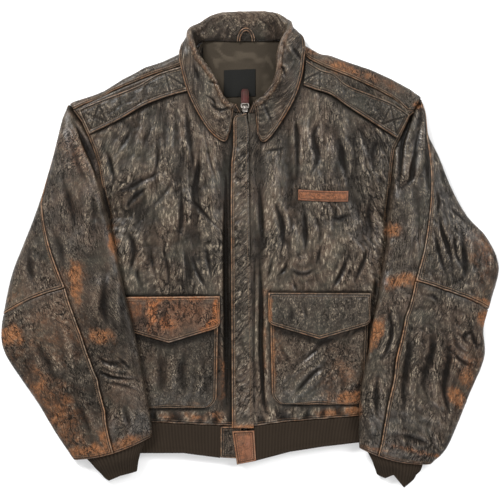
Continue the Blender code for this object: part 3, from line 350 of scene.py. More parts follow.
@dataclass(frozen=True)
class Crease:
    """One given fold.

    Args:
        points: plan points that its line runs through, in millimetres.
        width: half width in millimetres.
        height: height of a ridge, or below zero the depth of a trough.
    """

    points: tuple[Point, ...]
    width: float
    height: float

    def read(self, x: Array, y: Array) -> Array:
        """Height at plan places: a crisp line between two low lips, tapering towards both ends."""
        count = 6 * (len(self.points) - 1) + 1
        line = curve(self.points, np.linspace(0, 1, count))
        reach = 3.2 * self.width
        low, high = line.min(0) - reach, line.max(0) + reach
        near = (x > low[0]) & (x < high[0]) & (y > low[1]) & (y < high[1])
        total = np.zeros(x.shape)
        if not near.any():
            return total
        px, py = x[near], y[near]
        best, share = np.full(px.shape, 1e9), np.zeros(px.shape)
        for k in range(count - 1):
            (ax, ay), (bx, by) = line[k], line[k + 1]
            dx, dy = bx - ax, by - ay
            t = np.clip(((px - ax) * dx + (py - ay) * dy) / (dx * dx + dy * dy + 1e-9), 0, 1)
            off = np.hypot(px - ax - t * dx, py - ay - t * dy)
            closer = off < best
            best = np.where(closer, off, best)
            share = np.where(closer, (k + t) / (count - 1), share)
        taper = smooth(share / 0.45) * smooth((1 - share) / 0.45)
        width = 0.6 * self.width * (0.4 + 0.6 * taper)
        lips = 0.32 * bell(best - 2.3 * width, width)
        total[near] = self.height * taper * (np.exp(-((best / width) ** 1.4)) - lips)
        return total


def creases(*rows: Sequence[float]) -> list[Crease]:
    """Creases from rows of half width, height, and then x and y of each point."""
    return [Crease(tuple(zip(row[2::2], row[3::2])), row[0], row[1]) for row in rows]


def pressed(folds: Sequence[Crease], x: Array, y: Array) -> Array:
    """The sum of many creases over plan places."""
    x, y = np.broadcast_arrays(x, y)
    total = np.zeros(x.shape)
    for fold in folds:
        total = total + fold.read(x, y)
    return total


@dataclass(frozen=True)
class Rub:
    """A patch where the dye is rubbed away: centre, half lengths, turn in radians and strength."""

    centre: Point
    half: Point
    turn: float
    strength: float

    def read(self, x: Array, y: Array) -> Array:
        """Strength at plan places: an oval that fades outwards, its edge bent by slow noise."""
        cos, sin = np.cos(self.turn), np.sin(self.turn)
        dx, dy = x - self.centre[0], y - self.centre[1]
        long, wide = (dx * cos + dy * sin) / self.half[0], (-dx * sin + dy * cos) / self.half[1]
        far = np.sqrt(long**2 + wide**2)
        far = far * (1 + 0.3 * lattice(x / 13, y / 13, 61)) + 0.3 * lattice(x / 6, y / 8, 67)
        return self.strength * smooth((1.9 - far) / 1.8)


def rubs(*rows: Sequence[float]) -> list[Rub]:
    """Patches from rows of centre, half lengths, turn and strength."""
    return [Rub(row[:2], row[2:4], *row[4:]) for row in rows]


def rubbed(patches: Sequence[Rub], x: Array, y: Array) -> Array:
    """The strongest of several patches over plan places."""
    total = np.zeros(np.broadcast(x, y).shape)
    for patch in patches:
        total = np.maximum(total, patch.read(x, y))
    return total


# ---- form of the laid body -------------------------------------------------------------------

def side_distance(x: Array, y: Array) -> Array:
    """How far a plan place lies inside the body's side outline, negative outside it."""
    return np.where(x < 0, along(SIDE_LINE[Side.RIGHT], y) + x, along(SIDE_LINE[Side.LEFT], y) - x)


def edge_height(y: Array) -> Array:
    """Height of the front along its side: 5.8 at the side seam, 9 at the underarm, 18 at the armhole."""
    return 5.8 + 3.2 * smooth((y + 10) / 65) + 9.0 * smooth((y - 55) / 60)


def broad_folds(x: Array, y: Array) -> Array:
    """The broad folds that the solids have too: straight bells that fade at their ends."""
    total = np.zeros(np.broadcast(x, y).shape)
    for (x0, y0), (x1, y1), width, height in BROAD_FOLDS:
        dx, dy = x1 - x0, y1 - y0
        length = np.hypot(dx, dy)
        share = ((x - x0) * dx + (y - y0) * dy) / length**2
        off = ((x - x0) * dy - (y - y0) * dx) / length
        fade = smooth((share + 0.12) / 0.3) * smooth((1.12 - share) / 0.3)
        total = total + height * fade * bell(off, width)
    return total


def hem_waves(x: Array, y: Array) -> Array:
    """Gathers where the leather is drawn on to the waistband: a sine that dies away from the hem."""
    reach = bell(y - along(HEM_LINE, x), 26)
    return 1.7 * reach * smooth((np.abs(x + 8) - 25) / 25) * np.sin(np.abs(x) * 12 * np.pi / 220)


def front_height(x: Array, y: Array) -> Array:
    """Height of the front's face: a rise from the side to a plateau, with folds and gathers on it."""
    inside = np.maximum(side_distance(x, y), 0)
    edge = edge_height(y)
    base = edge + (along(PLATEAU, y) - edge) * (1 - np.exp(-((inside / 46) ** 1.15)))
    return base + (broad_folds(x, y) + hem_waves(x, y)) * smooth(inside / 60)


def waist_height(x: Array, y: Array) -> Array:
    """Height of the waistband's front layer, which thins to its free edge."""
    thin = smooth((-285 - y) / 45) * smooth(side_distance(x, y) / 40)
    return np.maximum(front_height(x, y) - thin, 5.8)


def sleeve_floor(x: Array, y: Array) -> Array:
    """Height of what a sleeve lies on: the surface, or the body's side once it has climbed on to it."""
    distance = side_distance(x, y)
    climb = smooth((distance + 38) / 38) * (1 - smooth((y - 78) / 30))
    pocket = smooth((np.abs(x) - 20) / 20) * smooth((y + 290) / 30) * smooth((-30 - y) / 30)
    over = front_height(x, y) + LAY_GAP + 7.4 * pocket * smooth(distance / 40)
    return np.where(distance > 0, over, (edge_height(y) + LAY_GAP) * climb) * smooth((y + 374) / 42)


# ---- meshes ----------------------------------------------------------------------------------

def mesh_object(name: str, points: Array, faces: Array, layers: dict[str, Array]) -> bpy.types.Object:
    """A smooth-shaded object from plan millimetres.

    Args:
        name: the piece's name.
        points: n by 3 points in millimetres.
        faces: m by 4 corner numbers.
        layers: one float per point for each named attribute.

    Returns:
        The object, at the origin and unturned.
    """
    mesh = bpy.data.meshes.new(name)
    if "patch" in layers and "flow_u" not in layers:
        layers = layers | {"flow_u": points[:, 0], "flow_v": 0.5 * points[:, 1]}
    mesh.vertices.add(len(points))
    mesh.vertices.foreach_set("co", ((points + SHIFT) * MM).astype(np.float32).ravel())
    mesh.loops.add(faces.size)
    mesh.loops.foreach_set("vertex_index", faces.astype(np.int32).ravel())
    mesh.polygons.add(len(faces))
    mesh.polygons.foreach_set("loop_start", np.arange(0, faces.size, faces.shape[1], dtype=np.int32))
    mesh.update(calc_edges=True)
    mesh.validate()
    for key, values in layers.items():
        layer = mesh.attributes.new(key, "FLOAT", "POINT")
        layer.data.foreach_set("value", values.astype(np.float32).ravel())
    mesh.shade_smooth()
    made = bpy.data.objects.new(name, mesh)
    bpy.context.scene.collection.objects.link(made)
    return made


def grid_faces(rows: int, columns: int, around: bool = False) -> Array:
    """Corner numbers of a grid's faces; `around` joins the last row to the first."""
    index = np.arange(rows * columns).reshape(rows, columns)
    if around:
        index = np.vstack([index, index[:1]])
    return np.stack([index[:-1, :-1], index[1:, :-1], index[1:, 1:], index[:-1, 1:]], -1).reshape(-1, 4)


def shell(name: str, outer: Array, inner: Array, layers: dict[str, Array], facing: int,
          around: bool = False) -> bpy.types.Object:
    """A closed thin shell between two grids.

    Args:
        name: the piece's name.
        outer: the face that shows, rows by columns by 3.
        inner: the hidden face, on the same grid.
        layers: attributes on the grid, used for both faces.
        facing: 1 if the grid's own winding faces outward, else -1.
        around: whether the last row joins the first.

    Returns:
        The finished object.
    """
    rows, columns = outer.shape[:2]
    count = rows * columns
    skin = grid_faces(rows, columns, around)
    index = np.arange(count).reshape(rows, columns)
    if around:
        index = np.vstack([index, index[:1]])
    rims = [index[:, 0], index[::-1, -1]]
    if not around:
        rims += [index[0, ::-1], index[-1, :]]
    faces = [skin, skin[:, ::-1] + count]
    faces += [np.stack([rim[:-1], rim[:-1] + count, rim[1:] + count, rim[1:]], -1) for rim in rims]
    corners = np.concatenate(faces)
    if facing < 0:
        corners = corners[:, ::-1]
    doubled = {key: np.concatenate([values.ravel(), values.ravel()]) for key, values in layers.items()}
    return mesh_object(name, np.concatenate([outer.reshape(-1, 3), inner.reshape(-1, 3)]), corners, doubled)


def relief_of(height: Array, reach: int = 5) -> Array:
    """How far each grid point stands over its surroundings, from a box blur done twice along each axis."""
    blurred = height
    for _ in range(2):
        for axis in (0, 1):
            padded = np.concatenate([np.repeat(np.take(blurred, [0], axis), reach, axis), blurred,
                                     np.repeat(np.take(blurred, [-1], axis), reach, axis)], axis)
            total = np.cumsum(padded, axis=axis)
            zero = np.zeros_like(np.take(total, [0], axis))
            total = np.concatenate([zero, total], axis)
            size = 2 * reach + 1
            high = np.take(total, np.arange(size, total.shape[axis]), axis)
            low = np.take(total, np.arange(0, total.shape[axis] - size), axis)
            blurred = (high - low) / size
    return height - blurred


def shade_of(detail: Array, broad: Array) -> Array:
    """Relief used for painted light and shade in the colour: small creases, and at half strength the folds about
    three times as wide.
    """
    return relief_of(detail) + 0.5 * relief_of(broad, 13)


def own(piece: bpy.types.Object, node: str | Sequence[str], material: bpy.types.Material,
        body: str = "jacket") -> bpy.types.Object:
    """Gives a piece its body, the solids that it stands for and its material."""
    nodes = [node] if isinstance(node, str) else list(node)
    piece.name = (nodes[0] if nodes else piece.name.split(".")[0]) + "_dressed"
    piece.data.materials.append(material)
    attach(piece, body)
    if nodes:
        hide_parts(*nodes)
    LOG.info("%s: %d faces", piece.name, len(piece.data.polygons))
    return piece


# ---- finishes --------------------------------------------------------------------------------

class Graph:
    """A node tree with short ways to add and join nodes."""

    def __init__(self, tree: bpy.types.NodeTree) -> None:
        """Takes the tree that the nodes go into."""
        self.tree = tree

    def feed(self, node: bpy.types.Node, inputs: dict) -> None:
        """Sets inputs of a node, by name or number, to values or joins them to outputs."""
        for key, value in inputs.items():
            if isinstance(value, bpy.types.NodeSocket):
                self.tree.links.new(value, node.inputs[key])
            else:
                node.inputs[key].default_value = value

    def node(self, kind: str, inputs: dict | None = None, **settings) -> bpy.types.Node:
        """Adds a node.

        Args:
            kind: the node's type.
            inputs: for each input's name or number, a value or the output to join to it.
            settings: properties of the node.

        Returns:
            The node.
        """
        made = self.tree.nodes.new(kind)
        for key, value in settings.items():
            setattr(made, key, value)
        self.feed(made, inputs or {})
        return made

    def layer(self, name: str) -> bpy.types.NodeSocket:
        """Value of a mesh attribute."""
        return self.node("ShaderNodeAttribute", attribute_name=name).outputs["Fac"]

    def maths(self, how: str, a, b=0.0, c=0.0, clamp: bool = False) -> bpy.types.NodeSocket:
        """One sum on two or three values."""
        return self.node("ShaderNodeMath", {0: a, 1: b, 2: c}, operation=how, use_clamp=clamp).outputs[0]

    def times(self, a, b, clamp: bool = False) -> bpy.types.NodeSocket:
        """The product a b."""
        return self.maths("MULTIPLY", a, b, clamp=clamp)

    def line(self, value, share: float, start) -> bpy.types.NodeSocket:
        """The sum value share + start."""
        return self.maths("MULTIPLY_ADD", value, share, start)

    def most(self, first, *others) -> bpy.types.NodeSocket:
        """The largest of several values."""
        for other in others:
            first = self.maths("MAXIMUM", first, other)
        return first

    def apart(self, value, from_value: float) -> bpy.types.NodeSocket:
        """The distance |value - from_value|."""
        return self.maths("ABSOLUTE", self.maths("SUBTRACT", value, from_value))

    def noise(self, where, scale: float, detail: float = 3.0, rough: float = 0.55, bend: float = 0.0):
        """Value of a noise texture."""
        inputs = {"Vector": where, "Scale": scale, "Detail": detail, "Roughness": rough, "Distortion": bend}
        return self.node("ShaderNodeTexNoise", inputs).outputs["Fac"]

    def blend(self, amount, first, second, how: str = "MIX") -> bpy.types.NodeSocket:
        """Two colours mixed."""
        inputs = {0: amount, 6: first, 7: second}
        return self.node("ShaderNodeMix", inputs, data_type="RGBA", blend_type=how).outputs[2]

    def ramp(self, value, low: float, high: float, start: float = 0.0, end: float = 1.0):
        """A value's span from low to high stretched softly to start and end."""
        inputs = {"Value": value, "From Min": low, "From Max": high, "To Min": start, "To Max": end}
        return self.node("ShaderNodeMapRange", inputs, interpolation_type="SMOOTHSTEP").outputs["Result"]

    def cloudy(self, where, scale: float, detail: float, rough: float, *span: float):
        """Noise stretched softly over a span, as ramp takes it."""
        return self.ramp(self.noise(where, scale, detail, rough), *span)


def new_group(name: str, vector_inputs: Sequence[str], inputs: Sequence[str], outputs: Sequence[str]):
    """An empty node group.

    Args:
        name: the group's name.
        vector_inputs: names of its inputs that are places.
        inputs: names of its inputs that are values.
        outputs: names of its outputs, all values.

    Returns:
        Its graph, its input node's outputs and its output node.
    """
    tree = bpy.data.node_groups.new(name, "ShaderNodeTree")
    for labels, kind in ((vector_inputs, "NodeSocketVector"), (inputs, "NodeSocketFloat")):
        for label in labels:
            tree.interface.new_socket(label, in_out="INPUT", socket_type=kind)
    for label in outputs:
        tree.interface.new_socket(label, in_out="OUTPUT", socket_type="NodeSocketFloat")
    graph = Graph(tree)
    return graph, graph.node("NodeGroupInput").outputs, graph.node("NodeGroupOutput")


def grain_group() -> bpy.types.NodeTree:
    """Tumbled leather: valleys of bent noise at three sizes, fine pebbles, and specks for painted glints."""
    graph, given, out = new_group("tumbled grain", ["Where", "Flow"], [], ["Height", "Valley", "Glint"])
    where, flow = given["Where"], given["Flow"]
    kinds = ((flow, 135.0, 0.7, 0.06), (where, 120.0, 1.2, 0.055), (flow, 330.0, 0.4, 0.1))
    long, cross, fine = (graph.ramp(graph.apart(graph.noise(place, scale, 2.0, 0.5, bend), 0.5), 0.0, width)
                         for place, scale, bend, width in kinds)
    pebbles = graph.node("ShaderNodeTexVoronoi", {"Vector": where, "Scale": 560.0}, feature="SMOOTH_F1")
    folds = graph.line(fine, 0.4, graph.line(cross, 0.55, graph.times(long, 0.8)))
    streaks = graph.ramp(graph.noise(flow, 460.0, 2.0, 0.6, 0.4), 0.47, 0.72)
    specks = graph.cloudy(where, 620.0, 2.0, 0.6, 0.5, 0.72)
    graph.feed(out, {"Height": graph.line(pebbles.outputs[0], -0.3, folds), "Valley": graph.ramp(folds, 0.72, 1.6),
                     "Glint": graph.most(streaks, graph.times(specks, 0.35))})
    return graph.tree


def wear_group() -> bpy.types.NodeTree:
    """How bare the leather is: listed patches, broken up by noise and strongest on crests."""
    graph, given, out = new_group("rubbed dye", ["Where"], ["Patch", "Crest"], ["Bare"])
    broad = graph.cloudy(given["Where"], 60.0, 5.0, 0.7, 0.3, 0.7, -0.24, 0.24)
    fine = graph.cloudy(given["Where"], 420.0, 3.0, 0.7, 0.32, 0.68, -0.13, 0.13)
    total = graph.maths("ADD", graph.maths("ADD", broad, fine), given["Patch"])
    total = graph.line(given["Crest"], 0.15, total)
    gate = graph.ramp(given["Patch"], 0.0, 0.75)
    graph.feed(out, {"Bare": graph.times(graph.ramp(total, -0.1, 1.05), gate)})
    return graph.tree


def trim_group() -> bpy.types.NodeTree:
    """Lines beside a turned edge, by the distance to it: a rubbed rim, and painted shade in the stitch groove and at
    the edge itself.
    """
    graph, given, out = new_group("turned edge", ["Where"], ["Border", "Edge"], ["Rim", "GrooveShade"])
    edge = given["Edge"]

    def line(at: float, half: float) -> bpy.types.NodeSocket:
        """1 on the line that lies at a distance from the edge, 0 from half a width away."""
        return graph.ramp(graph.apart(given["Border"], at), 0.0, half, 1.0, 0.0)

    broken = graph.cloudy(given["Where"], 120.0, 4.0, 0.7, 0.36, 0.62, 0.2, 1.0)
    rim = graph.most(line(1.3, 1.5), graph.times(line(5.0, 1.0), 0.5))
    # Painted shade in grooves at 3.2 and 6.6 mm from the edge and along the edge itself.
    dark = graph.most(line(3.2, 1.4), graph.times(line(6.6, 1.2), 0.6), graph.times(line(0.0, 0.9), 0.7))
    graph.feed(out, {"Rim": graph.times(graph.times(rim, edge), broken, clamp=True),
                     "GrooveShade": graph.times(dark, graph.ramp(edge, 0.0, 0.35), clamp=True)})
    return graph.tree


class Shared:
    """Node groups that several materials use, each made once."""

    made: dict[str, bpy.types.NodeTree] = {}

    @classmethod
    def get(cls, name: str) -> bpy.types.NodeTree:
        """The named group."""
        makers = {"grain": grain_group, "wear": wear_group, "trim": trim_group}
        if name not in cls.made:
            cls.made[name] = makers[name]()
        return cls.made[name]

    @classmethod
    def use(cls, graph: Graph, name: str, **inputs: bpy.types.NodeSocket):
        """Adds the named group to a graph and joins its inputs; returns its outputs."""
        return graph.node("ShaderNodeGroup", inputs, node_tree=cls.get(name)).outputs


class Finish:
    """A material that is made once and then shared."""

    name: str

    def paint(self, graph: Graph, shader: bpy.types.Node, where: bpy.types.NodeSocket) -> None:
        """Feeds the shader from places on the object."""
        raise NotImplementedError

    def build(self) -> bpy.types.Material:
        """The material, painted when it is first asked for."""
        made = bpy.data.materials.get(self.name)
        if not made:
            made = bpy.data.materials.new(self.name)
            made.use_nodes = True
            graph = Graph(made.node_tree)
            where = graph.node("ShaderNodeTexCoord").outputs["Object"]
            self.paint(graph, made.node_tree.nodes["Principled BSDF"], where)
        return made


OLIVE: Colour = (0.0245, 0.0242, 0.0165)
# Near-black colour of the painted shade in creases, grain valleys and stitch grooves.
CREASE_SHADE: Colour = (0.004, 0.003, 0.0022)
# Colour of the painted highlight on ridges where the hide is bare.
BARE_HIGHLIGHT: Colour = (0.36, 0.19, 0.10)
PALE_HEM: Colour = (0.25, 0.18, 0.125)


@dataclass(frozen=True)
class Leather(Finish):
    """Dyed leather, worn at folds and edges.

    Args:
        name: the material's name.
        dark: colour of the dye where it is whole.
        warm: colour that it drifts to in places.
        crest: colour of the painted highlight on its ridges.
        bare: colour of the hide where the dye is rubbed away.
        hem: colour of turned edges.
        rough: roughness of the dyed face.
        grain: depth of the grain in millimetres.
        highlight_strength: how strongly the painted highlight lightens its ridges.
        valley_shade: how dark the painted shade in the valleys of the grain is.
    """

    name: str
    dark: Colour = (0.0265, 0.0207, 0.0148)
    warm: Colour = (0.042, 0.027, 0.0172)
    crest: Colour = (0.245, 0.198, 0.143)
    bare: Colour = (0.27, 0.112, 0.047)
    hem: Colour = (0.29, 0.15, 0.078)
    rough: float = 0.42
    grain: float = 0.5
    highlight_strength: float = 1.0
    valley_shade: float = 0.88

    def paint(self, graph: Graph, shader: bpy.types.Node, where: bpy.types.NodeSocket) -> None:
        """Colours from the patch, relief, border and edge layers over noise, with painted shade in creases and
        painted highlights on ridges; grain as a bump.
        """
        shading_relief, border, edge = (graph.layer(key) for key in ("shading_relief", "border", "edge"))
        flow = graph.node("ShaderNodeCombineXYZ", {0: graph.times(graph.layer("flow_u"), MM),
                                                   1: graph.times(graph.layer("flow_v"), MM)}).outputs[0]
        grain = Shared.use(graph, "grain", Where=where, Flow=flow)
        bare = Shared.use(graph, "wear", Where=where, Patch=graph.layer("patch"),
                          Crest=graph.ramp(shading_relief, -0.2, 1.5))["Bare"]
        trim = Shared.use(graph, "trim", Where=where, Border=border, Edge=edge)
        calm = graph.cloudy(where, 24.0, 4.0, 0.6, 0.38, 0.6)
        valley = graph.most(grain["Valley"], graph.times(calm, 0.62))
        tone_and_shading = graph.cloudy(where, 13.0, 3.0, 0.55, 0.33, 0.67, 0.36, 0.9)
        # Painted light on raised relief and painted shade on sunken relief, over the dye's random tone.
        tone_and_shading = graph.line(graph.ramp(shading_relief, -1.0, 1.0), 0.75, tone_and_shading)
        # Painted highlight: raised relief and glint specks lighten the colour.
        highlight_strength = graph.times(graph.ramp(shading_relief, -0.9, 1.5, 0.14, 1.0), self.highlight_strength)
        lift = graph.times(highlight_strength, grain["Glint"])
        lift = graph.times(lift, graph.line(calm, -0.45, tone_and_shading), clamp=True)
        # Painted shade: dark in the creases of the relief, in the grain's valleys and in stitch grooves.
        deep = graph.most(graph.ramp(shading_relief, -0.4, -2.5, 0.0, 0.88),
                          graph.ramp(valley, 0.95, 0.0, 0.0, self.valley_shade), graph.times(trim["GrooveShade"], 0.9))
        sheen = graph.ramp(tone_and_shading, 0.3, 1.5, 0.2, 0.6)
        gloss = graph.times(graph.maths("SUBTRACT", 1.0, graph.most(deep, bare)), sheen, clamp=True)
        rough = graph.cloudy(where, 60.0, 4.0, 0.6, 0.3, 0.7, self.rough - 0.1, self.rough + 0.1)
        bump = {"Height": grain["Height"], "Strength": 1.0, "Distance": self.grain * MM}
        graph.feed(shader, {"Base Color": self.colour(graph, where, bare, tone_and_shading, lift, deep, trim["Rim"]),
                            "Roughness": graph.line(graph.most(bare, trim["Rim"]), 0.2, rough),
                            "Normal": graph.node("ShaderNodeBump", bump).outputs["Normal"],
                            "Coat Weight": gloss, "Coat Roughness": 0.4, "Specular IOR Level": 0.08})

    def colour(self, graph: Graph, where, bare, tone_and_shading, lift, deep, rim) -> bpy.types.NodeSocket:
        """The dye, bared hide, painted highlights on ridges, painted shade in creases and grooves, and rubbed rim,
        one over another.

        Args:
            graph: the material's graph.
            where: places on the object.
            bare: how bare the hide is.
            tone_and_shading: how light the dye is, with painted light on raised and painted shade on sunken relief.
            lift: how strong the painted highlight on ridges is.
            deep: how strong the painted shade is, in creases of the relief, in the grain's valleys and in stitch
                grooves.
            rim: how far a turned edge is rubbed.

        Returns:
            The colour.
        """
        drift = graph.cloudy(where, 16.0, 4.0, 0.6, 0.4, 0.64)
        colour = graph.blend(drift, (*self.dark, 1), (*self.warm, 1))
        green = graph.cloudy(where, 23.0, 3.0, 0.6, 0.5, 0.68, 0.0, 0.5)
        colour = graph.blend(green, colour, (*OLIVE, 1))
        # The dye's random tone, with painted light and shade from the relief, scales the colour.
        colour = graph.blend(1.0, colour, tone_and_shading, "MULTIPLY")
        worn = tuple(part * share for part, share in zip(self.bare, (0.42, 0.5, 0.6)))
        hide = graph.blend(graph.cloudy(where, 190.0, 4.0, 0.7, 0.35, 0.65), (*self.bare, 1), (*worn, 1))
        colour = graph.blend(bare, colour, hide)
        # Painted highlight on the ridges.
        colour = graph.blend(lift, colour, graph.blend(bare, (*self.crest, 1), (*BARE_HIGHLIGHT, 1)))
        # The painted crease shade goes over the colour.
        colour = graph.blend(deep, colour, (*CREASE_SHADE, 1))
        pale = graph.blend(graph.cloudy(where, 40.0, 3.0, 0.6, 0.35, 0.65), (*self.hem, 1), (*PALE_HEM, 1))
        return graph.blend(rim, colour, pale)


@dataclass(frozen=True)
class Knit(Finish):
    """Matt woven or knitted cloth.

    Args:
        name: the material's name.
        dark: colour down in the cloth, painted as shade.
        light: colour of the yarn that stands up, painted as lit.
        pitch: size of the fuzz in millimetres.
        rough: its roughness.
    """

    name: str
    dark: Colour
    light: Colour
    pitch: float = 1.0
    rough: float = 0.95

    def paint(self, graph: Graph, shader: bpy.types.Node, where: bpy.types.NodeSocket) -> None:
        """Yarn colour by the relief layer, as painted light on raised ribs and painted shade between them, and by
        fuzz noise, with the fuzz as a small bump.
        """
        fuzz = graph.noise(where, 1000.0 / self.pitch, 3.0, 0.7)
        # Painted light on raised ribs and painted shade between them, with random fuzz.
        ribs = graph.ramp(graph.layer("shading_relief"), -0.4, 0.4, 0.0, 0.75)
        raised = graph.maths("ADD", ribs, graph.ramp(fuzz, 0.3, 0.7, -0.2, 0.3), clamp=True)
        bump = {"Height": fuzz, "Strength": 0.6, "Distance": 0.4 * MM}
        graph.feed(shader, {"Base Color": graph.blend(raised, (*self.dark, 1), (*self.light, 1)),
                            "Normal": graph.node("ShaderNodeBump", bump).outputs["Normal"],
                            "Roughness": self.rough, "Specular IOR Level": 0.1})


@dataclass(frozen=True)
class Steel(Finish):
    """Worn steel: metal with smudged roughness."""

    name: str = "worn_steel"
    clean: Colour = (0.36, 0.33, 0.30)
    dirty: Colour = (0.09, 0.075, 0.06)

    def paint(self, graph: Graph, shader: bpy.types.Node, where: bpy.types.NodeSocket) -> None:
        """Roughness and a little dirt from noise."""
        smudge = graph.noise(where, 260.0, 4.0, 0.6)
        colour = graph.blend(graph.ramp(smudge, 0.45, 0.75), (*self.clean, 1), (*self.dirty, 1))
        graph.feed(shader, {"Base Color": colour, "Roughness": graph.ramp(smudge, 0.2, 0.8, 0.28, 0.55),
                            "Metallic": 1.0})


BODY_LEATHER = Leather("jacket_leather")
SLEEVE_LEATHER = Leather("sleeve_hide", dark=(0.0245, 0.0185, 0.0132), warm=(0.043, 0.027, 0.0175))
TRIM_LEATHER = Leather("trim_hide", dark=(0.0195, 0.0165, 0.012), warm=(0.028, 0.0205, 0.0142), valley_shade=0.75)
PLACKET_LEATHER = Leather("placket_hide", dark=(0.037, 0.029, 0.0205), warm=(0.054, 0.036, 0.0245),
                          highlight_strength=1.25)
COLLAR_HIDE = Leather("collar_leather", dark=(0.025, 0.0185, 0.013), warm=(0.052, 0.034, 0.022), valley_shade=0.75)
WORN_LEATHER = Leather("worn_tan_leather", dark=(0.17, 0.066, 0.033), warm=(0.22, 0.09, 0.045),
                       crest=(0.32, 0.17, 0.10), bare=(0.25, 0.10, 0.05), highlight_strength=0.35, rough=0.55, valley_shade=0.35)
PULL_LEATHER = Leather("pull_hide", dark=(0.046, 0.0085, 0.007), warm=(0.062, 0.011, 0.009),
                       crest=(0.2, 0.09, 0.07), bare=(0.14, 0.04, 0.026), grain=0.25, highlight_strength=0.5, valley_shade=0.4)
FLAP_LEATHER = Leather("worn_flap_leather", dark=(0.048, 0.028, 0.018), warm=(0.085, 0.042, 0.023),
                       crest=(0.26, 0.18, 0.12), bare=(0.33, 0.118, 0.045), highlight_strength=0.8)
WAIST_KNIT = Knit("ribbed_knit", (0.017, 0.0118, 0.008), (0.026, 0.0185, 0.0125), 0.9)
LINING = Knit("lining_cloth", (0.030, 0.0235, 0.0165), (0.058, 0.046, 0.033), 0.7, 0.85)
LABEL = Knit("woven_label", (0.005, 0.005, 0.0045), (0.014, 0.014, 0.013), 0.5, 0.8)
TAPE = Knit("tape_cloth", (0.007, 0.006, 0.0055), (0.017, 0.015, 0.013), 0.6)
THREAD = Knit("thread", (0.08, 0.050, 0.03), (0.20, 0.135, 0.085), 0.5, 0.7)
DARK_THREAD = Knit("dark_thread", (0.022, 0.017, 0.013), (0.065, 0.05, 0.036), 0.5, 0.7)


# ---- what the pieces share -------------------------------------------------------------------

def line_distance(x: Array, y: Array, line: Array) -> Array:
    """Distance of plan places to a run of straight pieces: the least over all of them."""
    best = np.full(np.shape(x), 1e9)
    for (ax, ay), (bx, by) in zip(line[:-1], line[1:]):
        dx, dy = bx - ax, by - ay
        t = np.clip(((x - ax) * dx + (y - ay) * dy) / (dx * dx + dy * dy + 1e-9), 0, 1)
        best = np.minimum(best, np.hypot(x - ax - t * dx, y - ay - t * dy))
    return best


def from_ends(points: Array, axis: int) -> tuple[Array, Array]:
    """Distances in millimetres along one axis of a grid from its first line and from its last."""
    step = np.linalg.norm(np.diff(points, axis=axis), axis=-1)
    pad = [(0, 0), (0, 0)]
    pad[axis] = (1, 0)
    run = np.pad(np.cumsum(step, axis=axis), pad)
    total = run[-1:, :] if axis == 0 else run[:, -1:]
    return run, total - run


def line_at(points: Array, axis: int, distance: float, last: bool = False) -> int:
    """Number of the grid line that lies nearest to a distance in from one end of an axis."""
    run = from_ends(points, axis)[1 if last else 0].mean(axis=1 - axis)
    return int(np.argmin(np.abs(run - distance)))


def on_grid(points: Array, rows: Array, columns: Array) -> Array:
    """Points of a grid at broken row and column numbers, blended from the four around each."""
    rows = np.clip(rows, 0, points.shape[0] - 1.001)
    columns = np.clip(columns, 0, points.shape[1] - 1.001)
    i, j = rows.astype(int), columns.astype(int)
    u, v = (rows - i)[:, None], (columns - j)[:, None]
    return ((1 - u) * (1 - v) * points[i, j] + u * (1 - v) * points[i + 1, j]
            + (1 - u) * v * points[i, j + 1] + u * v * points[i + 1, j + 1])


def cut(name: str, faces: tuple[Array, Array], layers: dict[str, Array], facing: int, finish: Finish,
        around: bool = False,
        body: str = "jacket") -> bpy.types.Object:
    """One cut piece, dressed and stated.

    Args:
        name: the piece's and its solid's name.
        faces: the face that shows and the hidden one.
        layers: attributes on the grid.
        facing: 1 if the grid's own winding faces outward, else -1.
        finish: its material.
        around: whether the grid's last row joins the first.
        body: the body that it rides on.

    Returns:
        The finished object.
    """
    piece = shell(name, *faces, layers, facing, around)
    own(piece, name, finish.build(), body)
    return piece


def nearest_edge(points: Array) -> Array:
    """Distance in millimetres of each grid point to the nearest of its grid's four edges."""
    return np.minimum(np.minimum(*from_ends(points, 0)), np.minimum(*from_ends(points, 1)))


def rounded(border: Array, drop: float = 0.9, lip: float = 1.5) -> Array:
    """Height below zero of a turned edge, which drops away within its lip."""
    return -drop * (1 - smooth(border / lip))


def raised(face: Array, height: Array) -> Array:
    """A grid lifted straight up by a height at each point."""
    return face + (0, 0, 1) * height[..., None]


def winding(normals: Array) -> int:
    """1 if a grid's own normals face up on the whole, else -1."""
    return 1 if normals[..., 2].mean() > 0 else -1


def crumpled(x: Array, y: Array, *kinds: tuple[float, float, float, float, int]) -> Array:
    """The sum of several layers of small creases."""
    return sum(Crumple(*kind).read(x, y) for kind in kinds)


@dataclass(frozen=True)
class Welt:
    """A padded edge: a bead beside it and a sewn groove further in, each a height, place and half width."""

    bead: tuple[float, float, float] = (0.7, 2.0, 1.5)
    groove: tuple[float, float, float] = (0.5, 5.0, 1.2)

    def read(self, border: Array) -> Array:
        """Height at distances from the edge: one bell up and one down."""
        (high, at, wide), (deep, inset, narrow) = self.bead, self.groove
        return high * bell(border - at, wide) - deep * bell(border - inset, narrow)


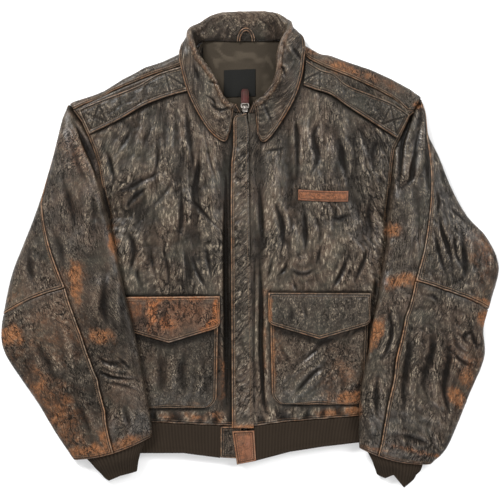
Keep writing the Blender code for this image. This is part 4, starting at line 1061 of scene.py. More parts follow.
@dataclass
class Sewing:
    """Lines of stitches, gathered piece by piece and made into one mesh.

    Args:
        name: name of the mesh.
        thread: the thread's finish.
        pitch: from one stitch to the next in millimetres.
        length: length of one stitch.
        round: half its thickness.
    """

    name: str
    thread: Knit
    pitch: float = 3.3
    length: float = 2.5
    round: float = 0.42
    starts: list[Array] = field(default_factory=list)
    ends: list[Array] = field(default_factory=list)

    def run(self, path: Array, lift: float = 0.15) -> None:
        """Adds stitches along a path: straight pieces of it at even steps of its length."""
        way = np.concatenate([[0], np.cumsum(np.linalg.norm(np.diff(path, axis=0), axis=1))])
        at = np.arange(self.pitch / 2, way[-1] - self.length, self.pitch)
        for share, store in ((0.0, self.starts), (self.length, self.ends)):
            points = np.stack([np.interp(at + share, way, path[:, k]) for k in range(3)], -1)
            store.append(points + (0, 0, lift))

    def build(self) -> bpy.types.Object:
        """Each stitch is a small spindle: a square at both ends and a wider one between them."""
        start, end = np.concatenate(self.starts), np.concatenate(self.ends)
        run = end - start
        run /= np.maximum(np.linalg.norm(run, axis=1, keepdims=True), 1e-9)
        aside = np.stack([-run[:, 1], run[:, 0], 0 * run[:, 0]], -1)
        aside /= np.maximum(np.linalg.norm(aside, axis=1, keepdims=True), 1e-9)
        up = np.cross(run, aside)
        rings = []
        for share, size, drop in ((0.0, 0.45, -0.5), (0.5, 1.0, 0.0), (1.0, 0.45, -0.5)):
            centre = start + (end - start) * share + up * drop * self.round
            rings += [centre + (aside * a + up * b) * self.round * size
                      for a, b in ((1, 0), (0, 1), (-1, 0), (0, -1))]
        points = np.stack(rings, 1)
        quads = [(k + low, (k + 1) % 4 + low, (k + 1) % 4 + low + 4, k + low + 4) for low in (0, 4) for k in range(4)]
        quads += [(3, 2, 1, 0), (8, 9, 10, 11)]
        faces = np.array(quads)[None] + 12 * np.arange(len(points))[:, None, None]
        piece = mesh_object(self.name, points.reshape(-1, 3), faces.reshape(-1, 4)[:, ::-1], {})
        return own(piece, (), self.thread.build())


# ---- wear and creases as the photo shows them ------------------------------------------------

RUBS = rubs(
    (-381, -136, 20, 16, 0.2, 0.95), (-340, -222, 14, 34, -0.55, 0.72), (-304, -262, 16, 44, -0.4, 0.62),
    (-262, -322, 52, 12, 0.12, 0.8), (-192, -306, 34, 9, 0.4, 0.75), (-276, -52, 11, 30, 0.1, 1.0),
    (-236, -138, 20, 13, 0.1, 0.75), (-219, 8, 7, 22, 0.1, 0.95), (-281, 150, 24, 42, 0.3, 0.34),
    (-372, -70, 26, 20, 0.3, 0.36), (-232, -300, 8, 24, 0.1, 0.8), (-318, -140, 70, 60, 0.5, 0.34),
    (-290, -280, 50, 40, 0.3, 0.36), (-306, -262, 110, 34, -1.07, 0.5), (-214, -200, 90, 34, -1.35, 0.2),
    (-282, -70, 70, 22, 1.5, 0.35), (-270, 110, 80, 30, 1.3, 0.22), (340, -170, 90, 40, 1.2, 0.22),
    (376, -60, 70, 26, 1.4, 0.3), (226, 31, 9, 11, 0.1, 1.0), (236, -48, 26, 12, 0.12, 0.85),
    (199, -134, 9, 28, -0.35, 0.95), (372, -108, 9, 14, 0.0, 0.9), (346, -200, 18, 22, 0.5, 0.62),
    (330, -238, 12, 18, 0.5, 0.85), (372, 2, 26, 30, 0.4, 0.46), (375, -84, 24, 6, -0.3, 0.9),
    (356, -176, 26, 16, 0.3, 0.4), (268, -322, 46, 5, -0.25, 0.6), (202, -318, 20, 4, -0.1, 0.5),
    (268, 232, 9, 7, 0.0, 0.7), (-50, -190, 7, 70, 0.0, 0.7), (-130, -268, 14, 8, 0.0, 0.55),
    (-84, -268, 24, 9, 0.0, 0.55), (-52, -266, 10, 12, 0.0, 0.6), (166, -255, 12, 14, 0.2, 0.9),
    (122, -262, 22, 8, 0.1, 0.72), (24, -150, 6, 60, 0.0, 0.42), (24, -70, 8, 10, 0.0, 0.4),
    (150, 290, 38, 9, -0.3, 0.75), (196, 276, 34, 8, -0.35, 0.5), (100, 318, 20, 7, -0.3, 0.5),
    (228, 262, 30, 7, -0.4, 0.4))
POCKET_RUBS: dict[Side, list[Rub]] = {
    Side.RIGHT: rubs(
        (-52, -170, 5, 60, 0.0, 0.5), (-90, -246, 22, 8, 0.0, 0.3)),
    Side.LEFT: rubs(
        (158, -236, 30, 12, 0.0, 0.85), (150, -196, 30, 40, 0.3, 0.38), (36, -165, 5, 50, 0.0, 0.75),
        (48, -155, 10, 24, 0.0, 0.35)),
}
FLAP_RUBS: dict[Side, list[Rub]] = {
    Side.RIGHT: rubs(
        (-55, -100, 6, 30, 0.0, 1.0), (-60, -122, 16, 9, 0.3, 0.9), (-156, -96, 10, 24, 0.0, 0.8),
        (-186, -90, 16, 20, 0.0, 0.5), (-132, -118, 26, 16, 0.0, 0.55), (-130, -76, 80, 5, 0.0, 0.95),
        (-110, -95, 60, 22, 0.0, 0.35)),
    Side.LEFT: rubs(
        (30, -96, 4, 28, 0.0, 1.0), (40, -126, 12, 5, -0.3, 0.5)),
}
FRONT_CREASES = creases(
    (5, -6.0, -38, 150, -39, 20, -38, -140, -38, -275), (6, -2.6, -104, 246, -98, 185, -88, 118),
    (5, -3.0, -81, 165, -84, 120, -95, 80), (5, -2.6, -95, 84, -71, 56, -43, 28),
    (12, 2.6, -104, 160, -101, 80, -92, 20), (6, -3.0, -112, 118, -109, 56, -119, -4),
    (5, -2.2, -145, 190, -148, 145, -156, 104), (5, -2.0, -156, 106, -186, 84, -204, 60),
    (5, -2.6, -237, 175, -221, 132, -216, 92), (6, -1.8, -226, 84, -170, 112, -132, 130),
    (6, -1.6, -180, 44, -135, 94, -120, 130), (7, -3.0, -201, 40, -186, 0, -198, -58),
    (6, 2.0, -170, 230, -176, 180, -190, 130), (7, 2.0, -128, 240, -126, 190, -131, 140),
    (6, 2.2, -64, 150, -62, 90, -58, 40), (4, -2.0, -158, 8, -155, -25, -143, -66),
    (4, -1.8, -137, 2, -131, -30, -124, -66), (4.5, -2.2, -94, -2, -84, -36, -66, -68),
    (5, -1.8, -74, 26, -66, -20, -58, -60), (5, -1.8, -178, -10, -180, -40, -168, -66),
    (5, 1.8, -112, 10, -108, -24, -104, -64), (5, -1.6, -215, 150, -200, 175, -186, 200),
    (5, -2.0, -72, 200, -66, 150, -54, 110), (7, -3.6, 122, 226, 102, 184, 107, 145, 88, 104),
    (6, -3.0, 145, 182, 148, 145, 160, 92), (11, 3.0, 127, 196, 128, 150, 124, 108),
    (3, -1.6, 15, 157, 40, 160, 66, 164), (5, -3.0, 69, 244, 74, 196, 76, 145, 75, 96),
    (6, 2.2, 92, 230, 88, 190, 92, 150), (6, -3.2, 84, 78, 89, 34, 88, -12),
    (7, -3.6, 32, 96, 50, 44, 54, -8), (5, -2.6, 14, 110, 18, 50, 20, 0), (6, 1.8, 38, 130, 40, 90, 36, 60),
    (8, 2.4, 70, 60, 72, 20, 70, -20), (5, -4.6, 15, 8, 18, -90, 18, -180, 27, -282),
    (4, -2.6, 8, 0, 5, -76, 8, -232), (5, -2.6, 40, 4, 32, -30, 26, -56),
    (4.5, -2.0, 52, -22, 84, -39, 112, -24), (4, -2.4, 116, 14, 110, -6, 104, -30),
    (5, -3.2, 165, 8, 143, -42, 128, -66), (5, -3.0, 191, 10, 178, -26, 164, -58),
    (6, 2.4, 146, 14, 128, -26, 118, -48), (4, -2.2, 70, -50, 72, -58, 76, -66),
    (6, -2.4, 196, 100, 190, 60, 196, 24), (6, -2.0, 206, 190, 196, 150, 200, 110),
    (7, 1.8, 170, 200, 178, 160, 176, 120), (4, -2.4, 60, -10, 56, -30, 40, -44),
    (5, -2.4, 25, -130, 20, -230, 34, -276), (8, 2.6, 96, -4, 84, -16, 66, -14),
    (6, -2.2, 196, -20, 202, -60, 192, -100), (5, -1.6, 120, 60, 140, 50, 170, 62),
    (6, -1.8, 100, 70, 112, 30, 108, 0))
SLEEVE_CREASES: dict[Side, list[Crease]] = {
    Side.RIGHT: creases(
        (5.5, -6.5, -286, 214, -266, 176, -251, 142, -238, 92),
        (6, 3.2, -295, 206, -276, 168, -262, 130, -250, 92), (8, -2.6, -224, -20, -232, -89, -222, -118),
        (7, 1.8, -206, -30, -212, -90, -204, -130), (3.6, -3.6, -246, -188, -216, -201, -170, -204),
        (4, -2.2, -248, -163, -222, -178, -178, -174), (4, -1.8, -238, -208, -205, -212, -172, -224),
        (4, 2.2, -240, -176, -214, -188, -186, -186), (3, -1.6, -212, -166, -200, -176, -182, -196),
        (4, 1.6, -262, -176, -246, -196, -238, -214), (9, -2.0, -300, 120, -285, 70, -276, 20),
        (8, 1.8, -262, 110, -258, 60, -262, 10), (8, -1.6, -318, 40, -300, 0, -296, -40),
        (7, -1.4, -352, 10, -350, -30, -340, -66), (9, -1.6, -346, -140, -320, -180, -306, -220),
        (8, 1.4, -300, -110, -286, -160, -280, -200), (6, -1.6, -200, -240, -196, -262, -190, -290),
        (7, -1.4, -280, -230, -262, -270, -252, -300)),
    Side.LEFT: creases(
        (5, -4.4, 266, 238, 258, 206, 243, 172, 238, 120, 233, 70), (5, 3.2, 272, 238, 262, 206, 248, 176),
        (6, 3.6, 279, 226, 275, 183, 270, 132, 256, 104), (6, -4.4, 267, 190, 258, 132, 255, 112, 232, 92),
        (6, -2.2, 288, 180, 284, 130, 282, 84), (9, 1.6, 250, 84, 256, 40, 250, 0),
        (4.5, -3.8, 300, 62, 306, 26, 318, -4, 322, -44), (4.5, -3.2, 323, 30, 327, -4, 342, -38),
        (4.5, -3.0, 292, 30, 300, -4, 315, -52), (5.5, -2.8, 341, 40, 338, 5, 341, -35, 324, -58),
        (4, -2.0, 312, 72, 330, 58, 350, 40), (5, 2.6, 332, 30, 332, 0, 336, -24),
        (5, 2.4, 312, 30, 320, 4, 330, -30), (6, 2.2, 350, 30, 352, -4, 350, -34),
        (4, -2.0, 296, 96, 300, 70, 290, 40), (6.5, -2.6, 258, -78, 251, -153, 243, -230, 247, -286),
        (6, 3.0, 270, -90, 266, -150, 258, -214, 262, -270),
        (6.5, -2.4, 284, -98, 289, -153, 276, -204, 289, -262),
        (6, 3.0, 298, -110, 300, -160, 292, -214, 306, -270),
        (6.5, -2.8, 306, -110, 316, -166, 308, -226, 329, -282), (4, -2.6, 332, -146, 344, -134, 360, -128),
        (5, -3.2, 318, -156, 339, -178, 364, -185), (5, 2.4, 322, -126, 338, -150, 352, -160),
        (5, -2.2, 346, -110, 356, -140, 366, -160),
        (5, -3.0, 214, -60, 219, -102, 224, -130, 212, -166, 196, -174),
        (5, -2.6, 204, -176, 199, -230, 202, -270), (6, 2.2, 226, -80, 230, -120, 222, -170),
        (4, -2.4, 268, -68, 292, -74, 300, -88), (5, 2.0, 216, -200, 212, -240, 216, -280),
        (5, -1.8, 222, -290, 262, -300, 300, -316), (5, 2.2, 330, -206, 322, -246, 316, -280)),
}
POCKET_CREASES: dict[Side, list[Crease]] = {
    Side.RIGHT: creases(
        (9, -1.2, -146, -146, -142, -200, -146, -240), (9, -1.2, -104, -150, -108, -200, -104, -236),
        (9, 1.3, -126, -150, -124, -200, -126, -240), (7, 1.1, -84, -160, -80, -210, -92, -238)),
    Side.LEFT: creases(
        (6, -1.8, 60, -242, 92, -206, 124, -174), (6, 2.2, 72, -238, 104, -206, 134, -180),
        (4, -1.3, 38, -136, 58, -170, 72, -198), (5, -1.6, 82, -182, 115, -149, 146, -142),
        (6, 1.9, 60, -206, 92, -178, 118, -158), (8, -1.0, 140, -180, 150, -205, 146, -230)),
}
COLLAR_CREASES = creases(
    (3, -1.5, -74, 272, -58, 266, -42, 262), (3.5, -1.9, -70, 242, -50, 224, -26, 230),
    (5, 1.2, -66, 232, -52, 214, -30, 216), (3, -1.4, -76, 250, -60, 240, -50, 222),
    (3.5, -1.6, 44, 282, 52, 290, 58, 270), (4, -1.2, 20, 236, 30, 216, 36, 200),
    (4, -1.5, 66, 326, 76, 312, 84, 300), (4, 1.3, 52, 340, 60, 326, 70, 306),
    (4, 1.3, -84, 330, -72, 322, -64, 300), (5, -1.1, -92, 300, -84, 280, -76, 262))
FLAP_CREASES = creases(
    (6, -1.4, 60, -76, 66, -100, 62, -124), (4, -1.2, 84, -76, 88, -98, 94, -116),
    (7, 1.2, 128, -80, 134, -104, 130, -124), (7, 1.0, -70, -84, -74, -110, -70, -126),
    (7, -1.1, -134, -84, -136, -110, -130, -132), (7, 1.1, -160, -84, -158, -106, -150, -122))
LINING_CREASES = creases(
    (4, 1.4, -60, 330, -40, 312, -20, 306), (4, 1.2, -72, 300, -58, 280, -40, 262),
    (3, -0.5, -50, 300, 0, 296, 40, 290), (4, 1.2, 20, 320, 34, 300, 42, 276),
    (5, 0.9, -66, 320, -54, 300, -44, 282))


# ---- body ------------------------------------------------------------------------------------

def fold_line(side: Side) -> Array:
    """The inner fold of a sleeve, from its lowest point up."""
    return np.array([pair[0] for pair in SLEEVE_FOLDS[side]], float)[::-1]


def strap_cover(x: Array, y: Array) -> Array:
    """1 under a shoulder strap: a band about the strap's middle line."""
    total = np.zeros(np.shape(x))
    for side in Side:
        middle = np.array(STRAP_EDGES[side], float).mean(1)
        total = np.maximum(total, smooth((26 - line_distance(x, y, middle)) / 7))
    return total


def collar_cover(x: Array, y: Array) -> Array:
    """1 under the collar's leaves: a band about the line half way from neck seam to leaf edge."""
    total = np.zeros(np.shape(x))
    for rows in (COLLAR_SECTIONS[:7], COLLAR_SECTIONS[14:]):
        middle = np.array([(np.array(row[0][:2]) + np.array(row[2][:2])) / 2 for row in rows], float)
        total = np.maximum(total, smooth((33 - line_distance(x, y, middle)) / 9))
    return total


def pocket_cover(x: Array, y: Array) -> Array:
    """1 under a pocket or its flap: a box with soft sides."""
    total = np.zeros(np.shape(x))
    for side in Side:
        dx, dy = x - POCKET_TOP[side][0], y - POCKET_TOP[side][1]
        box = smooth((88 - np.abs(dx)) / 7) * smooth((5 - dy) / 6) * smooth((dy + 188) / 8)
        total = np.maximum(total, box)
    return total


def laid_over(x: Array, y: Array) -> Array:
    """How much of the fronts' creases must go, from 0 to 1, because something lies on them."""
    wind = smooth((x + 35) / 4) * smooth((along(WIND_FLAP_SEWN, y) + 5 - x) / 4) * smooth((219 - y) / 4)
    name = smooth((46 - np.abs(x - 117)) / 5) * smooth((14 - np.abs(y - 87)) / 5)
    sleeves = np.zeros(np.shape(x))
    for side in Side:
        line = fold_line(side)
        edge = np.interp(y, line[:, 1], line[:, 0])
        sleeves = np.maximum(sleeves, smooth((side.sign * (x - edge) + 5) / 7) * smooth((60 - y) / 12))
    cover = [wind, name, sleeves, strap_cover(x, y), collar_cover(x, y), pocket_cover(x, y)]
    return np.maximum.reduce(cover)


def contact(x: Array, y: Array) -> Array:
    """1 close beside the edges that lie on the fronts, where hardly any light reaches."""
    edges = [[pair[1] for pair in STRAP_EDGES[side]] for side in Side]
    edges += [[row[2][:2] for row in rows] for rows in (COLLAR_SECTIONS[:8], COLLAR_SECTIONS[13:])]
    edges.append([(free, down) for down, free in WIND_FLAP_FREE])
    for side in Side:
        left, top = POCKET_TOP[side][0] - 80, POCKET_TOP[side][1]
        edges.append([(left, top), (left + 5, top - 160), (left + 24, top - 179), (left + 136, top - 179),
                      (left + 155, top - 160), (left + 160, top), (left, top)])
    total = np.zeros(np.shape(x))
    for edge in edges:
        total = np.maximum(total, bell(line_distance(x, y, np.array(edge, float)), 3.4))
    return total


@dataclass
class Body:
    """Both fronts and the back.

    Args:
        across: grid lines across a front.
        up: grid lines up a front.
        back_across: grid lines across the back.
        back_up: grid lines up the back.
    """

    across: int = 104
    up: int = 232
    back_across: int = 112
    back_up: int = 96
    crumple: tuple[Crumple, ...] = (Crumple(8.5, 3.4, 1.62, 1.25, 11), Crumple(4.6, 1.9, 1.5, 0.42, 29))

    def front_plan(self, side: Side) -> Array:
        """Plan grid of a front: four edges filled in by a Coons patch."""
        sign, outline, edge_x = side.sign, SIDE_LINE[side], FRONT_EDGE[side]
        across, up = edged(self.across, 240), edged(self.up, 560)
        hem_y = float(along(HEM_LINE, np.array(edge_x)))
        hem_x = edge_x + (sign * (outline[2][1] - 0.4) - edge_x) * across
        bottom = np.stack([hem_x, along(HEM_LINE, hem_x)], -1)
        top = straight_run(NECK_LINE[side] + SHOULDER_SEAM[side][1:], across) - (0, 0.9)
        top[-1] -= (sign * 0.4, 0)
        knots = [bottom[-1]] + [(sign * (width - 0.4), y) for y, width in outline[3:-2]] + [top[-1]]
        end = straight_run(knots, up)
        start = np.stack([np.full(len(up), float(edge_x)), hem_y + (top[0][1] - hem_y) * up], -1)
        u, v = across[:, None, None], up[None, :, None]
        ruled = (1 - v) * bottom[:, None] + v * top[:, None] + (1 - u) * start[None] + u * end[None]
        return ruled - ((1 - u) * (1 - v) * bottom[0] + u * (1 - v) * bottom[-1] + (1 - u) * v * top[0]
                        + u * v * top[-1])

    def crumpled(self, x: Array, y: Array) -> Array:
        """All creases of a front before anything is laid over it."""
        calm = 0.45 + 0.55 * smooth((np.abs(x + 8) - 30) / 60)
        return sum(c.read(self.fan(x, y), y) for c in self.crumple) * calm + pressed(FRONT_CREASES, x, y)

    def fan(self, x: Array, y: Array) -> Array:
        """Place across the wrinkles, which spread downwards from above each shoulder strap."""
        middle = np.where(x < 0, -112, 104)
        return middle + (x - middle) * 1.9 / (1 + np.maximum(330 - y, 60) / 200)

    def front(self, side: Side, sewing: Sewing) -> None:
        """One front: the laid body's height and its creases, sewn down beside its seams."""
        plan = self.front_plan(side)
        x, y = plan[..., 0], plan[..., 1]
        smooth_face = grid3(x, y, front_height(x, y))
        zip_side, side_seam = from_ends(smooth_face, 0)
        hem, top = from_ends(smooth_face, 1)
        border = np.minimum.reduce([zip_side, side_seam, hem, top])
        free = smooth(border / 9) * (1 - laid_over(x, y))
        gathers = 2.4 * bell(hem, 17) * np.sin(np.abs(x) * 0.2 + 1.3 * np.sin(x * 0.055)) * smooth(hem / 5)
        detail = self.crumpled(x, y) * free + gathers * (1 - 0.8 * laid_over(x, y))
        detail = np.where(y > -292, np.clip(detail, -7, 4.6), detail)
        bead = 0.7 * bell(np.minimum(side_seam, top) - 2.6, 1.5) * (1 - collar_cover(x, y))
        outer = raised(smooth_face, detail + bead + rounded(border, 0.75))
        # Painted shade on the front beside the armhole seam, taken off the relief layer.
        armhole = bell(side_seam, 3.0) * smooth((y - 30) / 30)
        layers = {"patch": rubbed(RUBS, x, y) * (1 - 0.6 * pocket_cover(x, y)),
                  "shading_relief": shade_of(detail, detail + broad_folds(x, y)) - 0.5 * armhole,
                  "border": np.where(y > 40, np.minimum(side_seam, hem), hem),
                  "edge": np.where(side_seam < hem, 0.5 * smooth((y - 30) / 30),
                                   0.45 + 0.35 * lattice(x / 14, y / 14, 5)),
                  "flow_u": self.fan(x, y) + 7 * lattice(x / 45, y / 60, 77), "flow_v": 0.22 * y}
        # Painted shadow beside the edges of straps, collar, wind flap and pockets that lie on the front.
        layers["shading_relief"] = layers["shading_relief"] - 2.2 * contact(x, y)
        cut(f"front_{side.value}", (outer, outer - (0, 0, LEATHER)), layers, side.sign,
            BODY_LEATHER)
        line = line_at(smooth_face, 0, 4.6, last=True)
        start = int(np.argmax(y[line] > 40))
        sewing.run(outer[line, start:-3])

    def back_surface(self) -> tuple[Array, Array]:
        """Under face of the back: along the floor from the hem, then half round each shoulder to its seam.

        Returns:
            The grid, and the angle turned about the shoulder at each point.
        """
        columns = np.linspace(-292, 275, self.back_across)
        shares = np.concatenate([np.linspace(0, 0.86, self.back_up - 44, endpoint=False),
                                 np.linspace(0.86, 1, 44)])
        across = ((columns - columns[0]) / (columns[-1] - columns[0]))[:, None]
        x_top = columns[:, None]
        for _ in range(6):
            fold_y = along(SHOULDER_FOLD, x_top)
            right = -along(SIDE_LINE[Side.RIGHT], fold_y - SHOULDER_ROUND) + 0.4
            left = along(SIDE_LINE[Side.LEFT], fold_y - SHOULDER_ROUND) - 0.4
            x_top = right + (left - right) * across
        hem_y = along(HEM_LINE, -247 + (247 + 240) * across)
        straight = fold_y - SHOULDER_ROUND - hem_y
        seam_right = np.interp(-x_top, *zip(*[(-x, y) for x, y in SHOULDER_SEAM[Side.RIGHT]]))
        seam_y = np.where(x_top < 0, seam_right, along(SHOULDER_SEAM[Side.LEFT], x_top))
        arc = np.pi * SHOULDER_ROUND
        full = straight + arc + np.maximum(fold_y - SHOULDER_ROUND - seam_y - 0.4, 0.5)
        neck = np.where(x_top < 0, smooth((x_top + 98) / 34), smooth((88 - x_top) / 36))
        length = full + (BACK_NECK_Y - hem_y - full) * neck
        run = shares[None, :] * length
        angle = np.clip((run - straight) / SHOULDER_ROUND, 0, np.pi)
        over = np.maximum(run - straight - arc, 0)
        y = hem_y + np.minimum(run, straight) + SHOULDER_ROUND * np.sin(angle) - over
        z = SHOULDER_ROUND * (1 - np.cos(angle))
        right = -along(SIDE_LINE[Side.RIGHT], y) + 0.4
        left = along(SIDE_LINE[Side.LEFT], y) - 0.4
        x = right + (left - right) * across
        beside = np.minimum(across, 1 - across) * (left - right)
        curl = 1.2 * (1 - smooth(beside / 14)) * (1 - smooth((y - 40) / 40)) * (angle == 0)
        return grid3(x, y, z + curl), angle

    def back(self, sewing: Sewing) -> None:
        """The back: creased upward where it lies on the floor, and outward over the shoulders."""
        face, angle = self.back_surface()
        x, y = face[..., 0], face[..., 1]
        across = np.minimum(*from_ends(face, 0))
        hem, seam = from_ends(face, 1)
        border = np.minimum(across, np.minimum(hem, seam))
        out = np.stack([np.zeros_like(angle), np.sin(angle), -np.cos(angle)], -1)
        free = smooth(border / 9) * (1 - smooth((85 - np.abs(x + 10)) / 12) * smooth((y - 180) / 20))
        creased = crumpled(x, y, (9.5, 2.6, 1.6, 1.1, 51), (5, 1.6, 0.5, 0.35, 57))
        under = -np.minimum(np.abs(creased), 2.2) * free * (1 - smooth(angle / 0.9))
        top = (0.55 * creased * free * (1 - collar_cover(x, y)) * smooth((angle - 2.0) / 0.8))
        bead = 0.7 * bell(seam - 2.8, 1.5) * (angle > 2.5) * (1 - collar_cover(x, y))
        moved = under + top + bead + rounded(border, 0.7)
        outer = face + out * moved[..., None]
        layers = {"patch": rubbed(RUBS, x, y) * smooth((angle - 1) / 0.8), "shading_relief": relief_of(under + top),
                  "border": seam, "edge": 0.8 * (angle > 2.5)}
        cut("back", (outer, outer - out * LEATHER), layers, -1, BODY_LEATHER)
        line = line_at(face, 1, 4.8, last=True)
        for share in (slice(1, int(0.35 * len(x))), slice(int(0.66 * len(x)), -1)):
            sewing.run(outer[share, line])

    def build(self, sewing: Sewing) -> None:
        """Both fronts and the back."""
        self.back(sewing)
        for side in Side:
            self.front(side, sewing)


# ---- sleeves ---------------------------------------------------------------------------------

def tube_height(loft: Array, t: Array, above: Array) -> Array:
    """Height over its base of a flattened tube's face, t from one fold to the other."""
    nose = 0.3 * loft
    reach = np.sin(np.pi * t)
    top = nose + (loft - nose) * reach**0.75
    low = nose * (1 - np.sin(np.pi / 2 * np.minimum(1, reach / 0.35)) ** 0.75)
    return np.where(above, top, low)


def top_share(w: Array) -> Array:
    """The q of a place on a tube's top at share w from the inner to the outer fold."""
    return np.arccos(1 - 2 * w) / np.pi / 2


@dataclass
class Sleeve:
    """One sleeve in three cut pieces, and its knit cuff.

    Args:
        side: which side it is on.
        rings: grid lines along the inner piece.
        turn: grid lines round the inner piece.
        outer_rings: grid lines along the upper and along the lower piece.
        outer_turn: grid lines round them.
    """

    side: Side
    rings: int = 168
    turn: int = 92
    outer_rings: int = 100
    outer_turn: int = 84

    def plan(self, s: Array, w: Array) -> Array:
        """Plan places: s from armhole to wrist, w from the inner fold to the outer fold."""
        pairs = SLEEVE_FOLDS[self.side]
        armhole = [(self.side.sign * width, y) for y, width in SIDE_LINE[self.side][8:]]
        inner, outer = curve([p[0] for p in pairs], s), curve([p[1] for p in pairs], s)
        across = w[..., None]
        plan = inner + (outer - inner) * across
        first, last = np.array(armhole[0], float), np.array(armhole[-1], float)
        hug = straight_run(armhole, w) - (first + (last - first) * across)
        plan = plan + hug * (1 - smooth(s / 0.22))[..., None]
        plan = plan + np.array([self.side.sign, -0.2]) * 1.2 * (1 - smooth(s / 0.05))[..., None]
        plan[..., 1] -= 7 * np.sin(np.pi * w) * smooth((s - 0.85) / 0.15)
        return plan

    def surface(self, s: Array, q: Array, depth: float = 0.0) -> Array:
        """The sleeve's face: q runs from the inner fold over the top to the outer fold and back below."""
        s, q = np.broadcast_arrays(s, np.mod(q, 1.0))
        t = np.where(q < 0.5, 2 * q, 2 - 2 * q)
        inset = depth / 140
        w = inset + (1 - 2 * inset) * (1 - np.cos(np.pi * t)) / 2
        plan = self.plan(s, w)
        under = sleeve_floor(plan[..., 0], plan[..., 1])
        loft = along(SLEEVE_LOFT, s) * (1 - 0.3 * np.clip(under / 20, 0, 1))
        height = tube_height(loft, t, q < 0.5)
        return grid3(plan[..., 0], plan[..., 1], under + depth + height * (loft - 2 * depth) / loft)

    def creased(self, x: Array, y: Array, part: Part) -> Array:
        """All creases of one cut piece over plan places."""
        run, seed, strong = (1.15, 70, 0.8) if self.side is Side.RIGHT else (1.95, 90, 1.25)
        calm = 0.75 if part is Part.INNER else 0.9
        fine = crumpled(x, y, (7.5, 2.0, run, 1.0, seed), (4.2, 1.3, run + 0.6, 0.38, seed + 7))
        return fine * strong * calm + pressed(SLEEVE_CREASES[self.side], x, y)

    def grids(self, part: Part) -> tuple[Array, Array]:
        """The s and q of a cut piece's grid; the elbow seam runs askew over the outer pieces."""
        where = SEAM_WHERE[self.side]
        if part is Part.INNER:
            run = edged(self.rings, 400)[:, None]
            s_back = np.where(run < 0.5, run * 1.24, 0.62 + (run - 0.5) * 0.76)
            turn = edged(self.turn, 280)[None, :]
            start, end = 0.75 + 0.0007 - 1, top_share(along(where, run)) - 0.0007
            return s_back + (run - s_back) * turn, start + (end - start) * turn
        run = edged(self.outer_rings, 210)[:, None]
        turn = edged(self.outer_turn, 200)[None, :]
        elbow = 0.5 + 0 * turn
        for _ in range(24):
            q = top_share(along(where, elbow))
            q = q + (0.75 - q) * turn
            across = np.where(q < 0.5, (1 - np.cos(2 * np.pi * q)) / 2, 1.0)
            elbow = 0.6 * elbow + 0.4 * along(ELBOW_AT[self.side], across)
        if part is Part.UPPER:
            s = (elbow - 0.0007) * run
        else:
            s = elbow + 0.0007 + (1 - elbow - 0.0007) * run
        start, end = top_share(along(where, s)) + 0.0007, 0.75 - 0.0007
        return s, start + (end - start) * turn

    def panel(self, part: Part, sewing: Sewing) -> None:
        """One cut piece: its face moved out by its creases on top, and in by them below."""
        s, q = self.grids(part)
        s, q = np.broadcast_arrays(s, q)
        face, lining = self.surface(s, q), self.surface(s, q, LEATHER)
        x, y = face[..., 0], face[..., 1]
        folded = np.mod(q, 1.0)
        above = folded < 0.5
        normals = surface_normals(face, 1)
        facing = 1 if normals[..., 2][above].mean() > 0 else -1
        normals = normals * facing
        t = np.where(above, 2 * folded, 2 - 2 * folded)
        near_fold = smooth(np.sin(np.pi * t) / 0.3)
        first, last = from_ends(face, 0)
        seam_a, seam_b = from_ends(face, 1)
        border = np.minimum.reduce([first, last, seam_a, seam_b])
        free = smooth(border / 8)
        wave = self.creased(x, y, part)
        detail = np.where(above, np.clip(wave, -7.5, 4.2), -np.minimum(np.abs(wave) * 0.7, 2.0))
        detail = detail * near_fold * free
        seam = seam_b if part is Part.INNER else seam_a
        high = 0.35 if part is Part.INNER else 1.25
        bead = high * bell(seam - 1.9, 1.7) * above * near_fold
        hem = last if part is not Part.UPPER else first + 1e3
        elbow = {Part.INNER: first + 1e3, Part.UPPER: last, Part.LOWER: first + 1e3}[part]
        bead = bead + (1.2 * bell(elbow - 2.8, 2.4) + 0.7 * bell(hem - 3, 2.2)) * above * near_fold
        drop = -0.8 * (1 - smooth(border / 1.5)) * (0.25 + 0.75 * above)
        tuck = bell(first, 3.4) * above * (part is not Part.LOWER) * smooth((y - 40) / 25)
        moved = (detail + bead + drop)[..., None] * normals - (0, 0, 5.0) * tuck[..., None]
        moved[..., 0] -= self.side.sign * 6.0 * bell(first, 5.0) * tuck
        worn = np.maximum(rubbed(RUBS, x, y) * (0.35 + 0.65 * above), 0.4 * bell(hem, 7) * (hem < 1e3))
        tan = hem if part is Part.INNER else np.minimum.reduce([seam, elbow, hem])
        strength = np.where(tan < hem, 1.0, 0.5) * (0.4 + 0.6 * above)
        # Painted shade along the sleeve's seams, and where it tucks under the body, taken off the relief layer.
        dark = 0.8 * bell(first, 1.2) * (part is Part.LOWER)
        if part is Part.INNER:
            dark = 1.6 * bell(seam, 1.6)
        layers = {"patch": worn, "shading_relief": shade_of(detail, detail) - 3.2 * tuck - dark * above,
                  "border": tan, "edge": strength, "flow_u": seam_a + 6 * lattice(x / 40, y / 40, 79),
                  "flow_v": (0.4 if self.side is Side.RIGHT else 0.25) * first}
        outer = face + moved
        cut(f"sleeve_{self.side.value}_{part.value}", (outer, lining + moved), layers, facing,
            SLEEVE_LEATHER)
        if part is not Part.INNER:
            line = line_at(face, 1, 5.0)
            ring = slice(6, -4)
            sewing.run(outer[ring, line][above[ring, line]])
        line = line_at(face, 0, 6.5 if part is Part.UPPER else 7.0, last=True)
        sewing.run(outer[line, 4:-4][above[line, 4:-4]])

